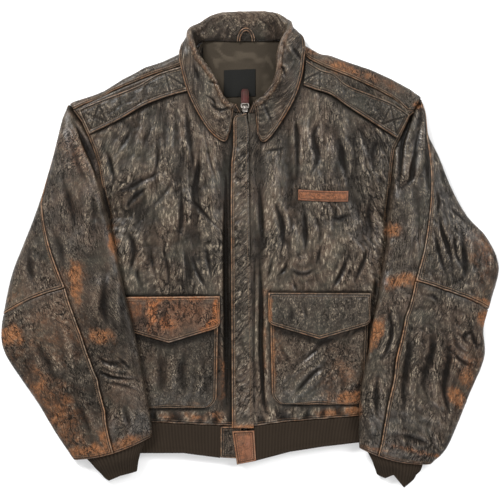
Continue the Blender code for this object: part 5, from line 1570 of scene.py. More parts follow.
    def cuff(self) -> None:
        """The knit cuff: a flattened tube whose ribs run lengthwise, with a wavy free edge."""
        pairs, edge = CUFF_FOLDS[self.side], CUFF_EDGE[self.side]
        s = edged(38, 70)[None, :]
        q = (np.arange(220) / 220)[:, None]
        faces = []
        for depth in (0.0, 2.0):
            t = np.where(q < 0.5, 2 * q, 2 - 2 * q)
            inset = depth / 90
            w = inset + (1 - 2 * inset) * (1 - np.cos(np.pi * t)) / 2 + 0 * s
            inner, outer = curve([p[0] for p in pairs], s + 0 * q), curve([p[1] for p in pairs], s + 0 * q)
            plan = inner + (outer - inner) * w[..., None]
            plan[..., 1] -= along(edge, w) * smooth(s)
            under = sleeve_floor(plan[..., 0], plan[..., 1])
            tuck = 2.6 * (1 - smooth((s - 0.45) / 0.4))
            loft = 22 * (1 - 0.3 * np.clip(under / 20, 0, 1)) - 5.2 - 4.0 * smooth((s - 0.4) / 0.6)
            height = tuck + depth + tube_height(loft, t, q < 0.5) * (loft - 2 * depth) / loft
            faces.append(grid3(plan[..., 0], plan[..., 1], under + height))
        face, hidden = faces
        normals = surface_normals(face, 1)
        facing = 1 if normals[..., 2][(q < 0.5)[:, 0]].mean() > 0 else -1
        normals = normals * facing
        ribs = 0.42 * np.sin(q * 2 * np.pi * 44 + 0 * s)
        sag = 1.1 * lattice(face[..., 0] / 16, face[..., 1] / 16, 3) * smooth((s - 0.3) / 0.3)
        lift = np.where(q < 0.5, ribs - 0.42 + np.minimum(sag, 0.3), np.minimum(ribs - 0.42, 0))
        lift = lift + rounded(np.minimum(s, 1 - s) * 70, 0.7)
        cut(f"cuff_{self.side.value}", (face + lift[..., None] * normals, hidden), {"shading_relief": ribs}, facing,
            WAIST_KNIT, around=True)

    def build(self, sewing: Sewing) -> None:
        """All cut pieces and the cuff."""
        for part in Part:
            self.panel(part, sewing)
        self.cuff()


# ---- collar ----------------------------------------------------------------------------------

def unit(vectors: Array) -> Array:
    """Vectors at length one."""
    return vectors / np.maximum(np.linalg.norm(vectors, axis=-1, keepdims=True), 1e-9)


def square_to(vectors: Array, direction: Array) -> Array:
    """The unit part of vectors that is square to unit directions."""
    return unit(vectors - (vectors * direction).sum(-1, keepdims=True) * direction)


@dataclass
class Collar:
    """The folded collar with its stand.

    Args:
        sections: grid lines round the neck.
        leather: thickness of the solid collar in millimetres, which the sections are drawn for.
        roll: radius of the fold.
    """

    sections: int = 330
    leather: float = 2.2
    roll: float = 5.0

    def faces(self) -> tuple[Array, Array]:
        """Outer and hidden face: up the stand, round the fold and over the leaf, section by section."""
        at = edged(self.sections, 560)
        keys = [curve([np.append(row[k], row[3]) for row in COLLAR_SECTIONS], at) for k in range(3)]
        under = np.clip(keys[0][:, 3:4], 0, 1)
        seam, fold, edge = (key[:, :3] for key in keys)
        up, level = np.array([0.0, 0.0, 1.0]), np.array([1.0, 1.0, 0.0])
        across, away = unit((edge - seam) * level), unit((fold - seam) * level)
        r = self.roll + (0.5 * (fold[:, 2:] - edge[:, 2:]) - self.roll) * under
        centre = fold * level + across * r * (1 - under) - away * r * under
        centre[:, 2:] = fold[:, 2:] - r
        to_leaf = unit(across * (1 - under) - up * under)
        out = unit(up * (1 - under) + away * under)
        turns = [out * np.cos(a) + to_leaf * np.sin(a) for a in np.linspace(-np.pi / 2, np.pi / 2, 15)]
        stand_end, leaf_start = centre + turns[0] * r, centre + turns[-1] * r
        stand_in = square_to(to_leaf, unit(stand_end - seam))
        leaf_out = square_to(to_leaf + out, unit(edge - leaf_start))
        outer, inner = [], []
        for share in np.concatenate([[0, 0.05], np.linspace(0.1, 0.92, 9)]):
            outer.append(seam + (stand_end - seam) * share)
            inner.append(outer[-1] + stand_in * self.leather)
        for turn in turns:
            outer.append(centre + turn * r)
            inner.append(centre + turn * (r - self.leather))
        for share in edged(30, 45)[3:]:
            outer.append(leaf_start + (edge - leaf_start) * share)
            inner.append(outer[-1] - leaf_out * self.leather)
        outer, inner = np.stack(outer, 1), np.stack(inner, 1)
        x, y = inner[..., 0], inner[..., 1]
        ground = np.maximum(front_height(x, y), 2 * SHOULDER_ROUND) + LAY_GAP
        rest = [(0, 300), (60, 306), (80, 324), (120, 326)]
        over_front = smooth((along(rest, np.abs(x + 10)) - y) / 12)
        lift = np.maximum(ground - np.minimum(inner[..., 2], outer[..., 2]), 0) * over_front
        return outer + (0, 0, 1) * lift[..., None], inner + (0, 0, 1) * lift[..., None]

    def build(self, sewing: Sewing) -> tuple[bpy.types.Object, Array]:
        """The collar, creased across its leaf; returns the piece and its smooth outer face."""
        face, hidden = self.faces()
        x, y = face[..., 0], face[..., 1]
        normals = surface_normals(face, 1)
        facing = 1 if normals[30:80, -8:, 2].mean() > 0 else -1
        normals = normals * facing
        end_a, end_b = from_ends(face, 0)
        seam, leaf = from_ends(face, 1)
        border = np.minimum.reduce([end_a, end_b, seam, leaf])
        free = smooth(border / 6)
        around, over = np.broadcast_arrays(end_a, leaf)
        fine = crumpled(around, over, (9, 1.7, 1.1, 0.9, 131), (4.4, 1.4, 0.3, 0.3, 137))
        hand = pressed(COLLAR_CREASES, x, y)
        still = smooth((np.hypot((x + 7) / 17, (y - 345) / 15) - 1.0) / 0.5)
        up = smooth((normals[..., 2] + 0.2) / 0.5)
        detail = (fine * 0.9 + hand) * free * up * still
        detail = np.clip(detail, -1.6, 2.2)
        welt = Welt((0.8, 2.2, 1.7), (0.5, 5.6, 1.2)).read(leaf)
        free_edge = np.minimum(leaf, np.minimum(end_a, end_b))
        moved = (detail + (welt + rounded(free_edge, lip=1.6)) * up)[..., None] * normals
        inward = np.minimum(detail * up, 0)[..., None] * normals * 0.5
        fold = bell(seam - from_ends(face, 1)[0][:, 20:21], 9)
        worn = np.maximum(0.34 * fold, 0.42 * bell(leaf, 5))
        shade = 1.6 * shade_of(detail, detail) + 0.9 * fold - 1.3 * bell(seam, 9)
        shade = shade + 0.7 * lattice(around / 34, over / 21, 143)
        layers = {"patch": worn, "shading_relief": shade, "border": free_edge, "edge": 0.7 + 0 * fold,
                  "flow_u": 0.75 * around, "flow_v": 0.6 * over}
        keep = LEATHER / self.leather
        outer = face + moved
        piece = cut("collar", (outer, face + (hidden - face) * keep + inward), layers, facing,
                    COLLAR_HIDE)
        line = line_at(face, 1, 5.4, last=True)
        sewing.run(outer[6:-6, line])
        return piece, face


# ---- pieces laid on the fronts ---------------------------------------------------------------

@dataclass
class Pocket:
    """A patch pocket with its pointed flap.

    Args:
        side: which side it is on.
        width: width in millimetres.
        height: height in millimetres.
        bulge: how far its middle stands off the front.
    """

    side: Side
    width: float = 160
    height: float = 176
    bulge: float = 1.4

    def placed(self, x: Array, y: Array) -> tuple[Array, Array, Array]:
        """Turned plan places and the front's height below them."""
        at, turn = POCKET_TOP[self.side], POCKET_TURN[self.side]
        px = at[0] + x * np.cos(turn) - y * np.sin(turn)
        py = at[1] + x * np.sin(turn) + y * np.cos(turn)
        return px, py, front_height(px, py)

    def stand_off(self, x: Array, y: Array) -> Array:
        """The bulge: nothing at the sewn edges."""
        edge = np.minimum(1 - np.abs(x) / (self.width / 2), (y + self.height) / self.height * 2)
        return self.bulge * smooth(edge * 3)

    def covered(self, x: Array, y: Array) -> Array:
        """1 where the sleeve lies over the pocket."""
        line = fold_line(self.side)
        edge = np.interp(y, line[:, 1], line[:, 0])
        return smooth((self.side.sign * (x - edge) + 7) / 8)

    def bag(self, sewing: Sewing) -> None:
        """The pocket: sides drawn in a little, lower corners rounded, a worn welt all round."""
        across, up = 2 * edged(84, self.width)[:, None] - 1, edged(92, self.height)[None, :]
        y = -self.height * (1 - up) + 0 * across
        half = self.width / 2 - 5 * (1 - up)
        rise = np.maximum(20 - self.height - y, 0) / 20
        x = across * (half - 20 * (1 - np.sqrt(np.maximum(1 - rise**2, 0))))
        px, py, ground = self.placed(x, y - 3)
        base = ground + LAY_GAP * 1.6 + self.stand_off(x, y)
        face = grid3(px, py, base + 1.8)
        side_a, side_b = from_ends(face, 0)
        foot, head = from_ends(face, 1)
        border = np.minimum.reduce([side_a, side_b, foot])
        sewn = smooth(border / 9) * (1 - self.covered(px, py))
        seed, turn, strong = (151, 1.5, 0.55) if self.side is Side.RIGHT else (163, 0.9, 1.0)
        fine = crumpled(px, py, (10, 2.2, turn, 0.8, seed), (5, 1.4, 0.4, 0.3, seed + 5)) * strong
        under_flap = 1 - smooth((head - 50) / 8)
        detail = np.clip(fine + pressed(POCKET_CREASES[self.side], px, py), -1.9, 3.4) * sewn * (1 - under_flap)
        welt = Welt((0.75, 2.2, 1.6), (0.55, 5.4, 1.2)).read(border)
        outer = raised(face, detail + welt + rounded(border))
        hidden = raised(face - (0, 0, LEATHER), np.maximum(detail, -0.4))
        point = 52 + 24 * (1 - np.abs(x) / 82)
        shadow = 1.9 * bell(np.maximum(head - point, 0), 4.5)
        layers = {"patch": rubbed(POCKET_RUBS[self.side], px, py), "border": border,
                  "shading_relief": shade_of(detail, detail) - shadow,
                  "edge": 0.75 + 0.25 * lattice(px / 18, py / 18, 9)}
        cut(f"pocket_{self.side.value}", (outer, hidden), layers, 1, BODY_LEATHER)
        a, b = line_at(face, 0, 4.9), line_at(face, 1, 4.9)
        stop = line_at(face, 1, 58, last=True)
        path = np.concatenate([outer[a, b:stop][::-1], outer[a:-a, b], outer[-a - 1, b:stop]])
        sewing.run(path)

    def flap(self, sewing: Sewing) -> None:
        """The flap: straight top, rounded lower corners and a shallow point."""
        width = self.width + 4
        across, down = 2 * edged(88, width)[:, None] - 1, edged(34, 66)[None, :]
        fall = 50 + 24 * (1 - np.abs(across))
        past = np.maximum(np.abs(across) * width / 2 - (width / 2 - 9), 0) / 9
        fall = fall - 9 * (1 - np.sqrt(np.maximum(1 - past**2, 0)))
        x, y = across * width / 2 + 0 * down, -fall * down
        px, py, ground = self.placed(x, y)
        bulge = self.stand_off(x * 0, y * 0 - 60)
        base = ground + LAY_GAP * 2.6 + 1.8 + 0.2 + bulge
        face = grid3(px, py, base + 1.8)
        side_a, side_b = from_ends(face, 0)
        head, foot = from_ends(face, 1)
        border = np.minimum.reduce([side_a, side_b, foot])
        sewn = smooth(np.minimum(border, head) / 7) * (1 - self.covered(px, py))
        seed, strong, bare, slot, finish = (171, 0.5, 1.0, "worn_leather", FLAP_LEATHER)
        if self.side is Side.LEFT:
            seed, strong, bare, slot, finish = (183, 0.9, 0.45, "body_leather", TRIM_LEATHER)
        fine = crumpled(px, py, (9, 2.0, 1.5, 0.8, seed), (4.6, 1.4, 0.7, 0.3, seed + 5)) * strong
        detail = np.clip(fine + pressed(FLAP_CREASES, px, py), -1.3, 2.6) * sewn
        welt = Welt((0.75, 2.2, 1.6), (0.5, 5.4, 1.2)).read(border)
        head_welt = Welt((1.1, 3.2, 2.4), (0.9, 7.8, 1.3)).read(head)
        outer = raised(face, detail + welt + head_welt + rounded(np.minimum(border, head)))
        hidden = raised(face - (0, 0, LEATHER), np.maximum(detail, -0.2))
        layers = {"patch": rubbed(FLAP_RUBS[self.side], px, py), "shading_relief": shade_of(detail, detail),
                  "border": np.minimum(border, head), "edge": np.where(head < border, bare, 0.8)}
        cut(f"pocket_flap_{self.side.value}", (outer, hidden), layers, -1, finish)
        a, b = line_at(face, 0, 4.9), line_at(face, 1, 4.9, last=True)
        top = line_at(face, 1, 7.4)
        sewing.run(np.concatenate([outer[a, top:b], outer[a:-a, b], outer[-a - 1, top:b][::-1]]))
        sewing.run(outer[a:-a, top])

    def build(self, sewing: Sewing) -> None:
        """The pocket and its flap."""
        self.bag(sewing)
        self.flap(sewing)


@dataclass
class WindFlap:
    """The flap over the zip; the worn tab that ends it is made with the waistband."""

    across: int = 22
    up: int = 250

    def height(self, x: Array, y: Array, across: Array) -> Array:
        """Its under face: a little above the higher of the two fronts, arched between its edges."""
        ground = np.maximum(front_height(x, y), front_height(x * 0 - 22, y) - 1)
        return ground + LAY_GAP * 1.6 + 0.9 * np.sin(np.pi * across)

    def build(self, sewing: Sewing) -> None:
        """The flap, sewn down along its left edge, with a free worn edge on the right."""
        up = edged(self.up, 500)[None, :]
        across = edged(self.across, 32)[:, None]
        y = -285 + 501 * up + 3 * across * smooth((up - 0.9) / 0.1)
        free = along(WIND_FLAP_FREE, y)
        top = np.maximum(y - 206, 0) / 10
        free = free + 10 * (1 - np.sqrt(np.maximum(1 - np.minimum(top, 1) ** 2, 0)))
        x = free + (along(WIND_FLAP_SEWN, y) - free) * across
        base = self.height(x, y, across)
        face = grid3(x, y, base + 1.8)
        edge, sewn = from_ends(face, 0)
        foot, head = from_ends(face, 1)
        border = np.minimum(edge, head)
        under_collar = collar_cover(x, y) * smooth((y - 150) / 20)
        free_share = smooth(np.minimum(border, sewn) / 6) * (1 - under_collar)
        fine = crumpled(x, y, (6.5, 2.6, 0.85, 1.25, 201), (4, 1.5, 1.2, 0.4, 207))
        detail = np.clip(fine * 1.2, -1.5, 2.6) * free_share
        outer = raised(face, detail + Welt().read(border) + rounded(border) - 0.6 * bell(sewn, 3))
        hidden = raised(face - (0, 0, LEATHER), np.maximum(detail, -0.3))
        low = smooth((-120 - y) / 150)
        layers = {"patch": 0.35 * bell(edge, 6) + 0.75 * bell(foot, 9), "shading_relief": 1.3 * relief_of(detail),
                  "border": border, "edge": 0.75 + 0.2 * low, "flow_u": 0.75 * x - 0.65 * y,
                  "flow_v": 0.3 * (0.65 * x + 0.75 * y)}
        cut("wind_flap", (outer, hidden), layers, 1, PLACKET_LEATHER)
        line, high = line_at(face, 0, 4.8), line_at(face, 1, 5.0, last=True)
        sewing.run(np.concatenate([outer[line, 3:high], outer[line:-4, high]]))
        sewing.run(outer[line_at(face, 0, 4.0, last=True), 3:high])


@dataclass
class Strap:
    """A shoulder strap, folded and sewn down at both ends."""

    side: Side

    def build(self, sewing: Sewing) -> None:
        """The strap: welted edges, a crossed box at the sleeve end and a small box at the neck end."""
        pairs = STRAP_EDGES[self.side]
        share, across = edged(104, 180)[:, None], edged(26, 38)[None, :]
        upper, lower = (curve([pair[k] for pair in pairs], share + 0 * across) for k in range(2))
        plan = upper + (lower - upper) * across[..., None]
        x, y = plan[..., 0], plan[..., 1]
        ground = np.maximum(front_height(x, y), 2 * SHOULDER_ROUND)
        arch = 2.4 * np.sin(np.pi * share) * (0.35 + 0.65 * across)
        face = grid3(x, y, ground + LAY_GAP + arch + 3.0)
        neck, tip = from_ends(face, 0)
        high, low = from_ends(face, 1)
        border = np.minimum(high, low)
        free = smooth(np.minimum(border, np.minimum(neck, tip)) / 6) * (1 - collar_cover(x, y))
        seed, tan = (211, 0.75) if self.side is Side.RIGHT else (223, 0.6)
        fine = crumpled(x, y, (11, 1.7, 0.5, 0.9, seed), (5, 1.4, 0.9, 0.3, seed + 5))
        detail = np.clip(fine, -1.4, 2.0) * free
        welt = Welt(groove=(0.7, 5.2, 1.3)).read(border)
        drop = rounded(np.minimum(border, tip), 1.1, 1.6)
        level = 38 * high / (high + low)
        box = np.array([(34, 5), (5, 33), (5, 5), (34, 33), (34, 5)], float)
        zigzag = box[[3, 0, 1]] - (8, 0)
        sewn = np.minimum(line_distance(tip, level, box), line_distance(neck, level, zigzag))
        welt = welt - 0.45 * bell(sewn, 1.4) + 0.3 * bell(sewn - 3.2, 1.6)
        outer = raised(face, detail + (welt + drop) * (1 - 0.7 * collar_cover(x, y)))
        # Painted shade in the sewn lines and painted light on the leather just beside them.
        layers = {"patch": 0.3 * bell(low, 5), "border": np.minimum(border, tip),
                  "shading_relief": 1.2 * relief_of(detail) - 1.9 * bell(sewn, 1.2) + 1.3 * bell(sewn - 2.8, 1.3),
                  "edge": np.where(low < np.minimum(high, tip), tan, 0.55)}
        cut(f"epaulette_{self.side.value}", (outer, face - (0, 0, 2.6)), layers,
            winding(surface_normals(face, 1)), TRIM_LEATHER)
        a, b = line_at(face, 1, 4.8), line_at(face, 1, 4.8, last=True)
        end, inner = line_at(face, 0, 4.5, last=True), line_at(face, 0, 34, last=True)
        sewing.run(np.concatenate([outer[6:end, a], outer[end, a:b], outer[6:end, b][::-1]]))
        sewing.run(outer[inner, a:b])
        for first, last in ((a, b), (b, a)):
            sewing.run(on_grid(outer, np.linspace(inner, end, 40), np.linspace(first, last, 40)))
        near = line_at(face, 0, 26)
        sewing.run(outer[near, a:b])


@dataclass
class NameStrip:
    """The bare leather strip across the left chest."""

    width: float = 80
    height: float = 17

    def build(self, sewing: Sewing) -> None:
        """The strip, bowed a little, its dark rim sewn down."""
        x = self.width * (edged(60, self.width)[:, None] - 0.5)
        y = self.height * (edged(18, self.height)[None, :] - 0.5)
        turn = -0.03
        bow = 1.2 * (1 - (2 * x / self.width) ** 2)
        px = 117 + x * np.cos(turn) - (y - bow) * np.sin(turn)
        py = 87 + x * np.sin(turn) + (y - bow) * np.cos(turn)
        face = grid3(px, py, front_height(px, py) + LAY_GAP + 1.8)
        border = nearest_edge(face)
        detail = crumpled(px, py, (6, 1.5, 0.2, 0.35, 231)) * smooth(border / 4)
        outer = raised(face, detail - 0.5 * bell(border - 3.2, 0.9) + rounded(border, lip=1.4))
        # Painted shade in the sewn groove round the strip's rim.
        layers = {"patch": 0.85 * smooth((border - 2.6) / 1.6), "border": border + 9, "edge": 0 * border,
                  "shading_relief": relief_of(detail) - 1.1 * bell(border - 2.9, 1.0)}
        cut("name_strip", (outer, face - (0, 0, LEATHER)), layers, 1, WORN_LEATHER)
        a, b = line_at(face, 0, 3.2), line_at(face, 1, 3.2)
        for path in (outer[a:-a, b], outer[a:-a, -b - 1], outer[a, b:-b], outer[-a - 1, b:-b]):
            sewing.run(path)


# ---- waist -----------------------------------------------------------------------------------

@dataclass
class Waist:
    """The knit waistband, its leather end tab and the tab that ends the wind flap."""

    ribs: float = 5.2

    def down(self, x: Array, v: Array) -> Array:
        """Y at share v from the hem seam to the band's free edge."""
        top = along(HEM_LINE, x) - 1.0
        return top + (along(WAIST_BOTTOM, x) - top) * v

    def band(self) -> None:
        """The band: one strip from its right front end round the back to its left, ribbed across."""
        v = edged(26, 52)[None, :]
        r = 2.9
        right, left = 243 - 11 * v, 236 - 11 * v
        fold_right, fold_left = -(right - r), left - r
        count = 150
        pieces = []
        x = -48 + (fold_right + 48) * np.linspace(0, 1, count)[:, None]
        pieces.append((x, waist_height(x, self.down(x, v))))
        angle = np.pi * np.linspace(0, 1, 10)[1:-1, None]
        pieces.append((fold_right - r * np.sin(angle), r + r * np.cos(angle) + 0 * v))
        x = fold_right + (fold_left - fold_right) * np.linspace(0, 1, 2 * count)[:, None]
        pieces.append((x, 0 * x))
        pieces.append((fold_left + r * np.sin(angle), r - r * np.cos(angle) + 0 * v))
        x = fold_left + (-2 - fold_left) * np.linspace(0, 1, count + 20)[:, None]
        pieces.append((x, waist_height(x, self.down(x, v))))
        x, z = np.vstack([p[0] for p in pieces]), np.vstack([p[1] for p in pieces])
        face = grid3(x, self.down(x, v), z)
        normals = surface_normals(face, 1) * (1, 0, 1)
        facing = 1 if normals[: count - 2, :, 2].mean() > 0 else -1
        normals = normals * facing
        run = from_ends(face, 0)[0].mean(axis=1, keepdims=True)
        ribs = 0.36 * np.sin(run * 2 * np.pi / self.ribs + 0.8 * lattice(run / 40, v * 2, 41))
        sag = 0.7 * lattice(x / 30, face[..., 1] / 22, 43) * (normals[..., 2] > 0.5)
        edge = np.minimum(*from_ends(face, 1))
        lift = ribs - 0.4 + np.minimum(sag, 0.35) + rounded(edge, 0.8, 1.6)
        lift = lift - 0.6 * bell(from_ends(face, 1)[1] - 6, 1.5)
        outer = face + np.minimum(lift, 0)[..., None] * normals
        cut("waistband", (outer, face - 2.0 * normals), {"shading_relief": ribs}, facing, WAIST_KNIT)

    def tab(self, name: str, corners: Sequence[Point], lift: float, finish: Leather,
            patch: float, sewing: Sewing) -> None:
        """A leather tab over four corners.

        Args:
            name: the piece's and its solid's name.
            corners: plan corners, anticlockwise from the upper wearer's right.
            lift: height over the waistband's face.
            finish: its leather.
            patch: how worn it is.
            sewing: takes its stitches.
        """
        a, b, c, d = (np.array(p, float) for p in corners)
        u, v = edged(20, 34)[:, None, None], edged(28, 52)[None, :, None]
        plan = (1 - v) * ((1 - u) * a + u * b) + v * ((1 - u) * d + u * c)
        x, y = plan[..., 0], plan[..., 1]
        face = grid3(x, y, waist_height(x, y) + lift)
        side_a, side_b = from_ends(face, 0)
        head, foot = from_ends(face, 1)
        border = np.minimum(np.minimum(side_a, side_b), foot)
        fine = crumpled(x, y, (8, 1.8, 1.4, 0.7, 241)) * smooth(np.minimum(border, head) / 6)
        detail = np.clip(fine, -0.8, 1.3)
        outer = raised(face, detail + Welt((0.5, 2.0, 1.5)).read(border) + rounded(border))
        layers = {"patch": patch * (0.75 + 0.25 * lattice(x / 12, y / 12, 61)), "shading_relief": relief_of(detail),
                  "border": np.minimum(border, head), "edge": 0.7 + 0 * border}
        cut(name, (outer, face - (0, 0, LEATHER)), layers, winding(surface_normals(face, 1)), finish)
        i, j, k = line_at(face, 0, 4.6), line_at(face, 1, 4.6), line_at(face, 1, 4.6, last=True)
        sewing.run(np.concatenate([outer[i, j:k], outer[i:-i, k], outer[-i - 1, j:k][::-1]]))
        sewing.run(outer[i:-i, j])

    def build(self, sewing: Sewing) -> None:
        """The band and both tabs."""
        self.band()
        right, middle = TAB_CORNERS
        self.tab("waist_tab_right", right, 0.0, BODY_LEATHER, 0.2, sewing)
        self.tab("wind_flap_tab", middle, 2.4, WORN_LEATHER, 0.75, sewing)


# ---- inside the neck, and the zip ------------------------------------------------------------

@dataclass
class NeckInside:
    """Lining, label and hanger loop.

    Args:
        collar: the collar's smooth outer face, which the loop is sewn to.
    """

    collar: Array

    def flat_piece(self, name: str, x: Array, y: Array, z: Array, thick: float, finish: Knit) -> None:
        """A flat woven piece on its smooth top face."""
        face = grid3(x, y, z)
        border = nearest_edge(face)
        outer = raised(face, rounded(border, 0.25, 1.2))
        shade = 1.2 * relief_of(z + 0 * x, 4) - (0.45 * bell(border - 12, 12) if thick > 0.8 else 0)
        cut(name, (outer, face - (0, 0, thick)), {"shading_relief": shade}, 1, finish)

    def build(self, sewing: Sewing) -> bpy.types.Object:
        """The lining in soft folds, the label flat on it, and the loop on the stand; returns the loop."""
        x = -76 + 130 * edged(40, 130)[:, None]
        y = 205 + 133 * edged(40, 133)[None, :]
        x, y = np.broadcast_arrays(x, y)
        calm = smooth((np.maximum(np.abs(x + 16) / 32, np.abs(y - 268) / 30) - 1.0) / 0.3)
        folds = pressed(LINING_CREASES, x, y)
        soft = 0.5 * (1 + lattice(x / 17, y / 9, 251)) + 0.25 * lattice(x / 7, y / 5, 253)
        z = 3.6 + np.maximum(folds, -0.4) * calm + soft * calm
        self.flat_piece("back_lining", x, y, z, 0.9, LINING)
        x = -42 + 51 * edged(16, 51)[:, None]
        y = 246 + 44 * edged(14, 44)[None, :] + 0.04 * (x + 42)
        x, y = np.broadcast_arrays(x, y)
        z = 4.85 + 0.05 * lattice(x / 12, y / 12, 257)
        self.flat_piece("label", x, y, z, 0.7, LABEL)
        return self.loop(sewing)

    def loop(self, sewing: Sewing) -> bpy.types.Object:
        """The hanger loop: half a ring on the collar's stand, at a height weighted by the points near it."""
        angle = np.linspace(0, np.pi, 60)[:, None]
        reach = 5 * (edged(6, 5, 0.5)[None, :] - 0.5)
        x = -6.5 + (12 + reach) * np.cos(angle)
        y = 336 + (18.5 + reach) * np.sin(angle)
        stand = self.collar[:, :24].reshape(-1, 3)[::3]
        weight = 1 / ((x[..., None] - stand[:, 0]) ** 2 + (y[..., None] - stand[:, 1]) ** 2 + 4) ** 2
        z = (weight * stand[:, 2]).sum(-1) / weight.sum(-1) + 1.4 + 1.6
        round_off = 0.5 * (1 - (np.abs(reach) / 2.5) ** 2) - 0.5
        face = grid3(x, y, z)
        outer = raised(face, round_off + 0 * z)
        layers = {"patch": 0.3 + 0 * z, "shading_relief": 0 * z, "border": 3.5 - np.abs(reach) + 0 * z,
                  "edge": 0.8 + 0 * z}
        piece = cut("hanger_loop", (outer, face - (0, 0, 1.5)), layers, winding(surface_normals(face, 1)),
                    COLLAR_HIDE)
        sewing.run(outer[2:-2, line_at(face, 1, 2.5)])
        return piece


@dataclass
class Zip:
    """Tape, teeth, the steel slider and the swinging pull.

    Args:
        tooth: width and length of a tooth in millimetres.
        pitch: from one tooth to the next on the same side.
    """

    tooth: Point = (3.2, 1.1)
    pitch: float = 2.6

    def bed(self, x: Array, y: Array) -> Array:
        """Height of the tape's face."""
        under = np.where(y < -270, waist_height(x, y), front_height(x, y))
        return under - 2.2 - 0.8

    def teeth(self) -> None:
        """Two rows of metal teeth that mesh, each a small wedge."""
        y = np.arange(-332, 220, self.pitch / 2)
        x = -8 + np.where(np.arange(len(y)) % 2 == 0, -1.0, 1.0)
        half, long = self.tooth[0] / 2, self.tooth[1] / 2
        corners = np.array([(-1, -1, 0), (1, -1, 0), (1, 1, 0), (-1, 1, 0), (-0.8, -0.7, 1), (0.8, -0.7, 1),
                            (0.8, 0.7, 1), (-0.8, 0.7, 1)], float) * (half, long, 1.3)
        at = np.stack([x, y, self.bed(x, y) + 0.1], -1)
        points = at[:, None] + corners[None]
        sides = [(k, (k + 1) % 4, (k + 1) % 4 + 4, k + 4) for k in range(4)]
        quads = np.array([(3, 2, 1, 0), (4, 5, 6, 7), *sides])
        faces = quads[None] + 8 * np.arange(len(at))[:, None, None]
        piece = mesh_object("zip_teeth", points.reshape(-1, 3), faces.reshape(-1, 4), {})
        own(piece, (), Steel().build())

    def tape(self) -> None:
        """The woven tape under both front edges."""
        y = -335 + 558 * edged(180, 558)[None, :]
        x = -8 + 26 * (edged(14, 26)[:, None] - 0.5)
        x, y = np.broadcast_arrays(x, y)
        face = grid3(x, y, self.bed(x, y))
        weave = {"shading_relief": 0.3 * np.sin(y * 2.4)}
        cut("zip_tape", (face, face - (0, 0, 0.9)), weave, 1, TAPE)

    def swung(self, points: Array) -> Array:
        """Points of the pull, drawn level from the pivot, dropped by 27 degrees to where it rests."""
        cos, sin = np.cos(PULL_DROP), np.sin(PULL_DROP)
        x, y, z = (points[..., k] for k in range(3))
        return np.stack([x, y * cos - z * sin, y * sin + z * cos], -1) + PIVOT

    def link(self) -> None:
        """The steel link: a round wire bent to a rounded square."""
        angle = (np.arange(72) / 72 * 2 * np.pi)[:, None]
        ring = (np.arange(13) / 12 * 2 * np.pi)[None, :]
        square = (np.abs(np.cos(angle)) ** 4 + np.abs(np.sin(angle)) ** 4) ** -0.25
        x = (6 * square + np.cos(ring)) * np.cos(angle)
        y = 4 + (4 * square + np.cos(ring)) * np.sin(angle)
        points = self.swung(grid3(x, y, np.sin(ring)))[:, :-1]
        rows, columns = points.shape[:2]
        index = np.arange(rows * columns).reshape(rows, columns)
        a, b = index, np.roll(index, -1, axis=0)
        faces = np.stack([a, b, np.roll(b, -1, axis=1), np.roll(a, -1, axis=1)], -1).reshape(-1, 4)
        piece = mesh_object("pull_link", points.reshape(-1, 3), faces, {})
        own(piece, "pull_link", Steel().build(), body="zip_pull")

    def pull(self) -> None:
        """The leather tab, folded over the link: full in its middle and narrowed at its end."""
        share, across = edged(40, 27, 1.0)[None, :], 2 * edged(18, 12, 0.9)[:, None] - 1
        y = 9.4 + share * 26.6
        past = np.maximum(share - 0.75, 0) / 0.25
        x = across * 6 * (1 - 0.35 * past**2) + 0 * y
        z = 1.1 * (1 - 0.25 * across**2) + 0 * y
        flat = grid3(x, y, z)
        border = nearest_edge(flat)
        groove = -0.3 * bell(border - 2.2, 0.5) + rounded(border, 0.55, 1.1)
        top = self.swung(grid3(x, y, z + groove))
        low = self.swung(grid3(x, y, -z - groove))
        # Painted shade in the groove along the tab's edge.
        layers = {"patch": 0.35 * bell(border, 1.6), "shading_relief": -1.2 * bell(border - 2.2, 0.6),
                  "border": border + 9, "edge": 0 * border}
        cut("pull_tab", (top, low), layers, 1, PULL_LEATHER,
            body="zip_pull")

    def build(self, nodes: dict[str, bpy.types.Object]) -> None:
        """All of the zip; the slider and its bridge keep their solids' meshes."""
        self.tape()
        self.teeth()
        self.link()
        self.pull()
        for name in ("zip_slider", "slider_bridge"):
            nodes[name].data.materials.clear()
            nodes[name].data.materials.append(Steel().build())


# ---- stage -----------------------------------------------------------------------------------

@dataclass(frozen=True)
class Lamp:
    """A soft square lamp: place in metres, side in metres, power in watts and colour."""

    at: tuple[float, float, float]
    size: float
    power: float
    colour: Colour = (1.0, 1.0, 1.0)

    def build(self, name: str) -> None:
        """The lamp, turned to the jacket's middle."""
        data = bpy.data.lights.new(name, "AREA")
        data.shape, data.size, data.energy, data.color = "SQUARE", self.size, self.power, self.colour
        lamp = bpy.data.objects.new(name, data)
        bpy.context.scene.collection.objects.link(lamp)
        lamp.location = self.at
        lamp.rotation_euler = (-Vector(self.at)).to_track_quat("-Z", "Y").to_euler()


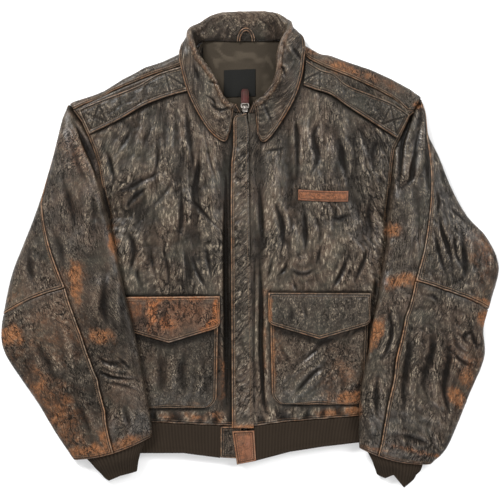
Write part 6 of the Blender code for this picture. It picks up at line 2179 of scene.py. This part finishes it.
@dataclass
class Studio:
    """A pale floor, soft lamps and a camera that looks straight down."""

    frame: float = 0.8
    lamps: tuple[Lamp, ...] = (Lamp((-1.1, 1.5, 1.5), 0.7, 70.0), Lamp((1.5, 0.9, 1.6), 1.1, 34.0),
                               Lamp((0.3, -1.7, 1.6), 1.4, 28.0))

    def build(self) -> None:
        """Floor, world light, lamps and camera, the photo's frame being 0.8 m wide."""
        mesh = bpy.data.meshes.new("floor")
        mesh.from_pydata([(-6, -6, 0), (6, -6, 0), (6, 6, 0), (-6, 6, 0)], [], [(0, 1, 2, 3)])
        floor = bpy.data.objects.new("floor", mesh)
        floor.location = (0, 0, -0.0004)
        bpy.context.scene.collection.objects.link(floor)
        pale = bpy.data.materials.new("pale_floor")
        pale.use_nodes = True
        shader = pale.node_tree.nodes["Principled BSDF"]
        shader.inputs["Base Color"].default_value = (0.93, 0.93, 0.93, 1)
        shader.inputs["Roughness"].default_value = 0.9
        mesh.materials.append(pale)
        floor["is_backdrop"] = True
        world = bpy.data.worlds.new("studio")
        world.use_nodes = True
        world.node_tree.nodes["Background"].inputs["Color"].default_value = (1, 1, 1, 1)
        world.node_tree.nodes["Background"].inputs["Strength"].default_value = 0.42
        bpy.context.scene.world = world
        for number, lamp in enumerate(self.lamps):
            lamp.build(f"lamp_{number}")
        data = bpy.data.cameras.new("camera")
        data.lens, data.sensor_width = 85, 36
        camera = bpy.data.objects.new("camera", data)
        bpy.context.scene.collection.objects.link(camera)
        height = self.frame * data.lens / data.sensor_width + 0.02
        camera.matrix_world = Matrix.Translation((SHIFT[0] * MM, SHIFT[1] * MM, height))
        bpy.context.scene.camera = camera
        bpy.context.scene.view_settings.view_transform = "Standard"


def write_size(label: str, sizes: dict[str, list]) -> None:
    sizes[label] = [[float(value) for value in corner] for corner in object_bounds()]


def main() -> None:
    """Loads the solids, dresses them piece by piece, lights them and hands the scene over."""
    logging.basicConfig(level=logging.INFO, format="%(name)s %(message)s")
    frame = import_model()
    sizes: dict[str, list] = {}
    write_size("cad", sizes)
    tan, dark = Sewing("tan_stitches", THREAD), Sewing("dark_stitches", DARK_THREAD)
    Studio().build()
    Body().build(tan)
    for side in Side:
        Sleeve(side).build(tan)
        Pocket(side).build(tan)
        Strap(side).build(dark)
    collar, collar_face = Collar().build(tan)
    WindFlap().build(tan)
    NameStrip().build(dark)
    Waist().build(dark)
    loop = NeckInside(collar_face).build(dark)
    Zip().build(frame["nodes"])
    for sewing in (tan, dark):
        sewing.build()
    write_size("dressed", sizes)


if __name__ == "__main__":
    main()
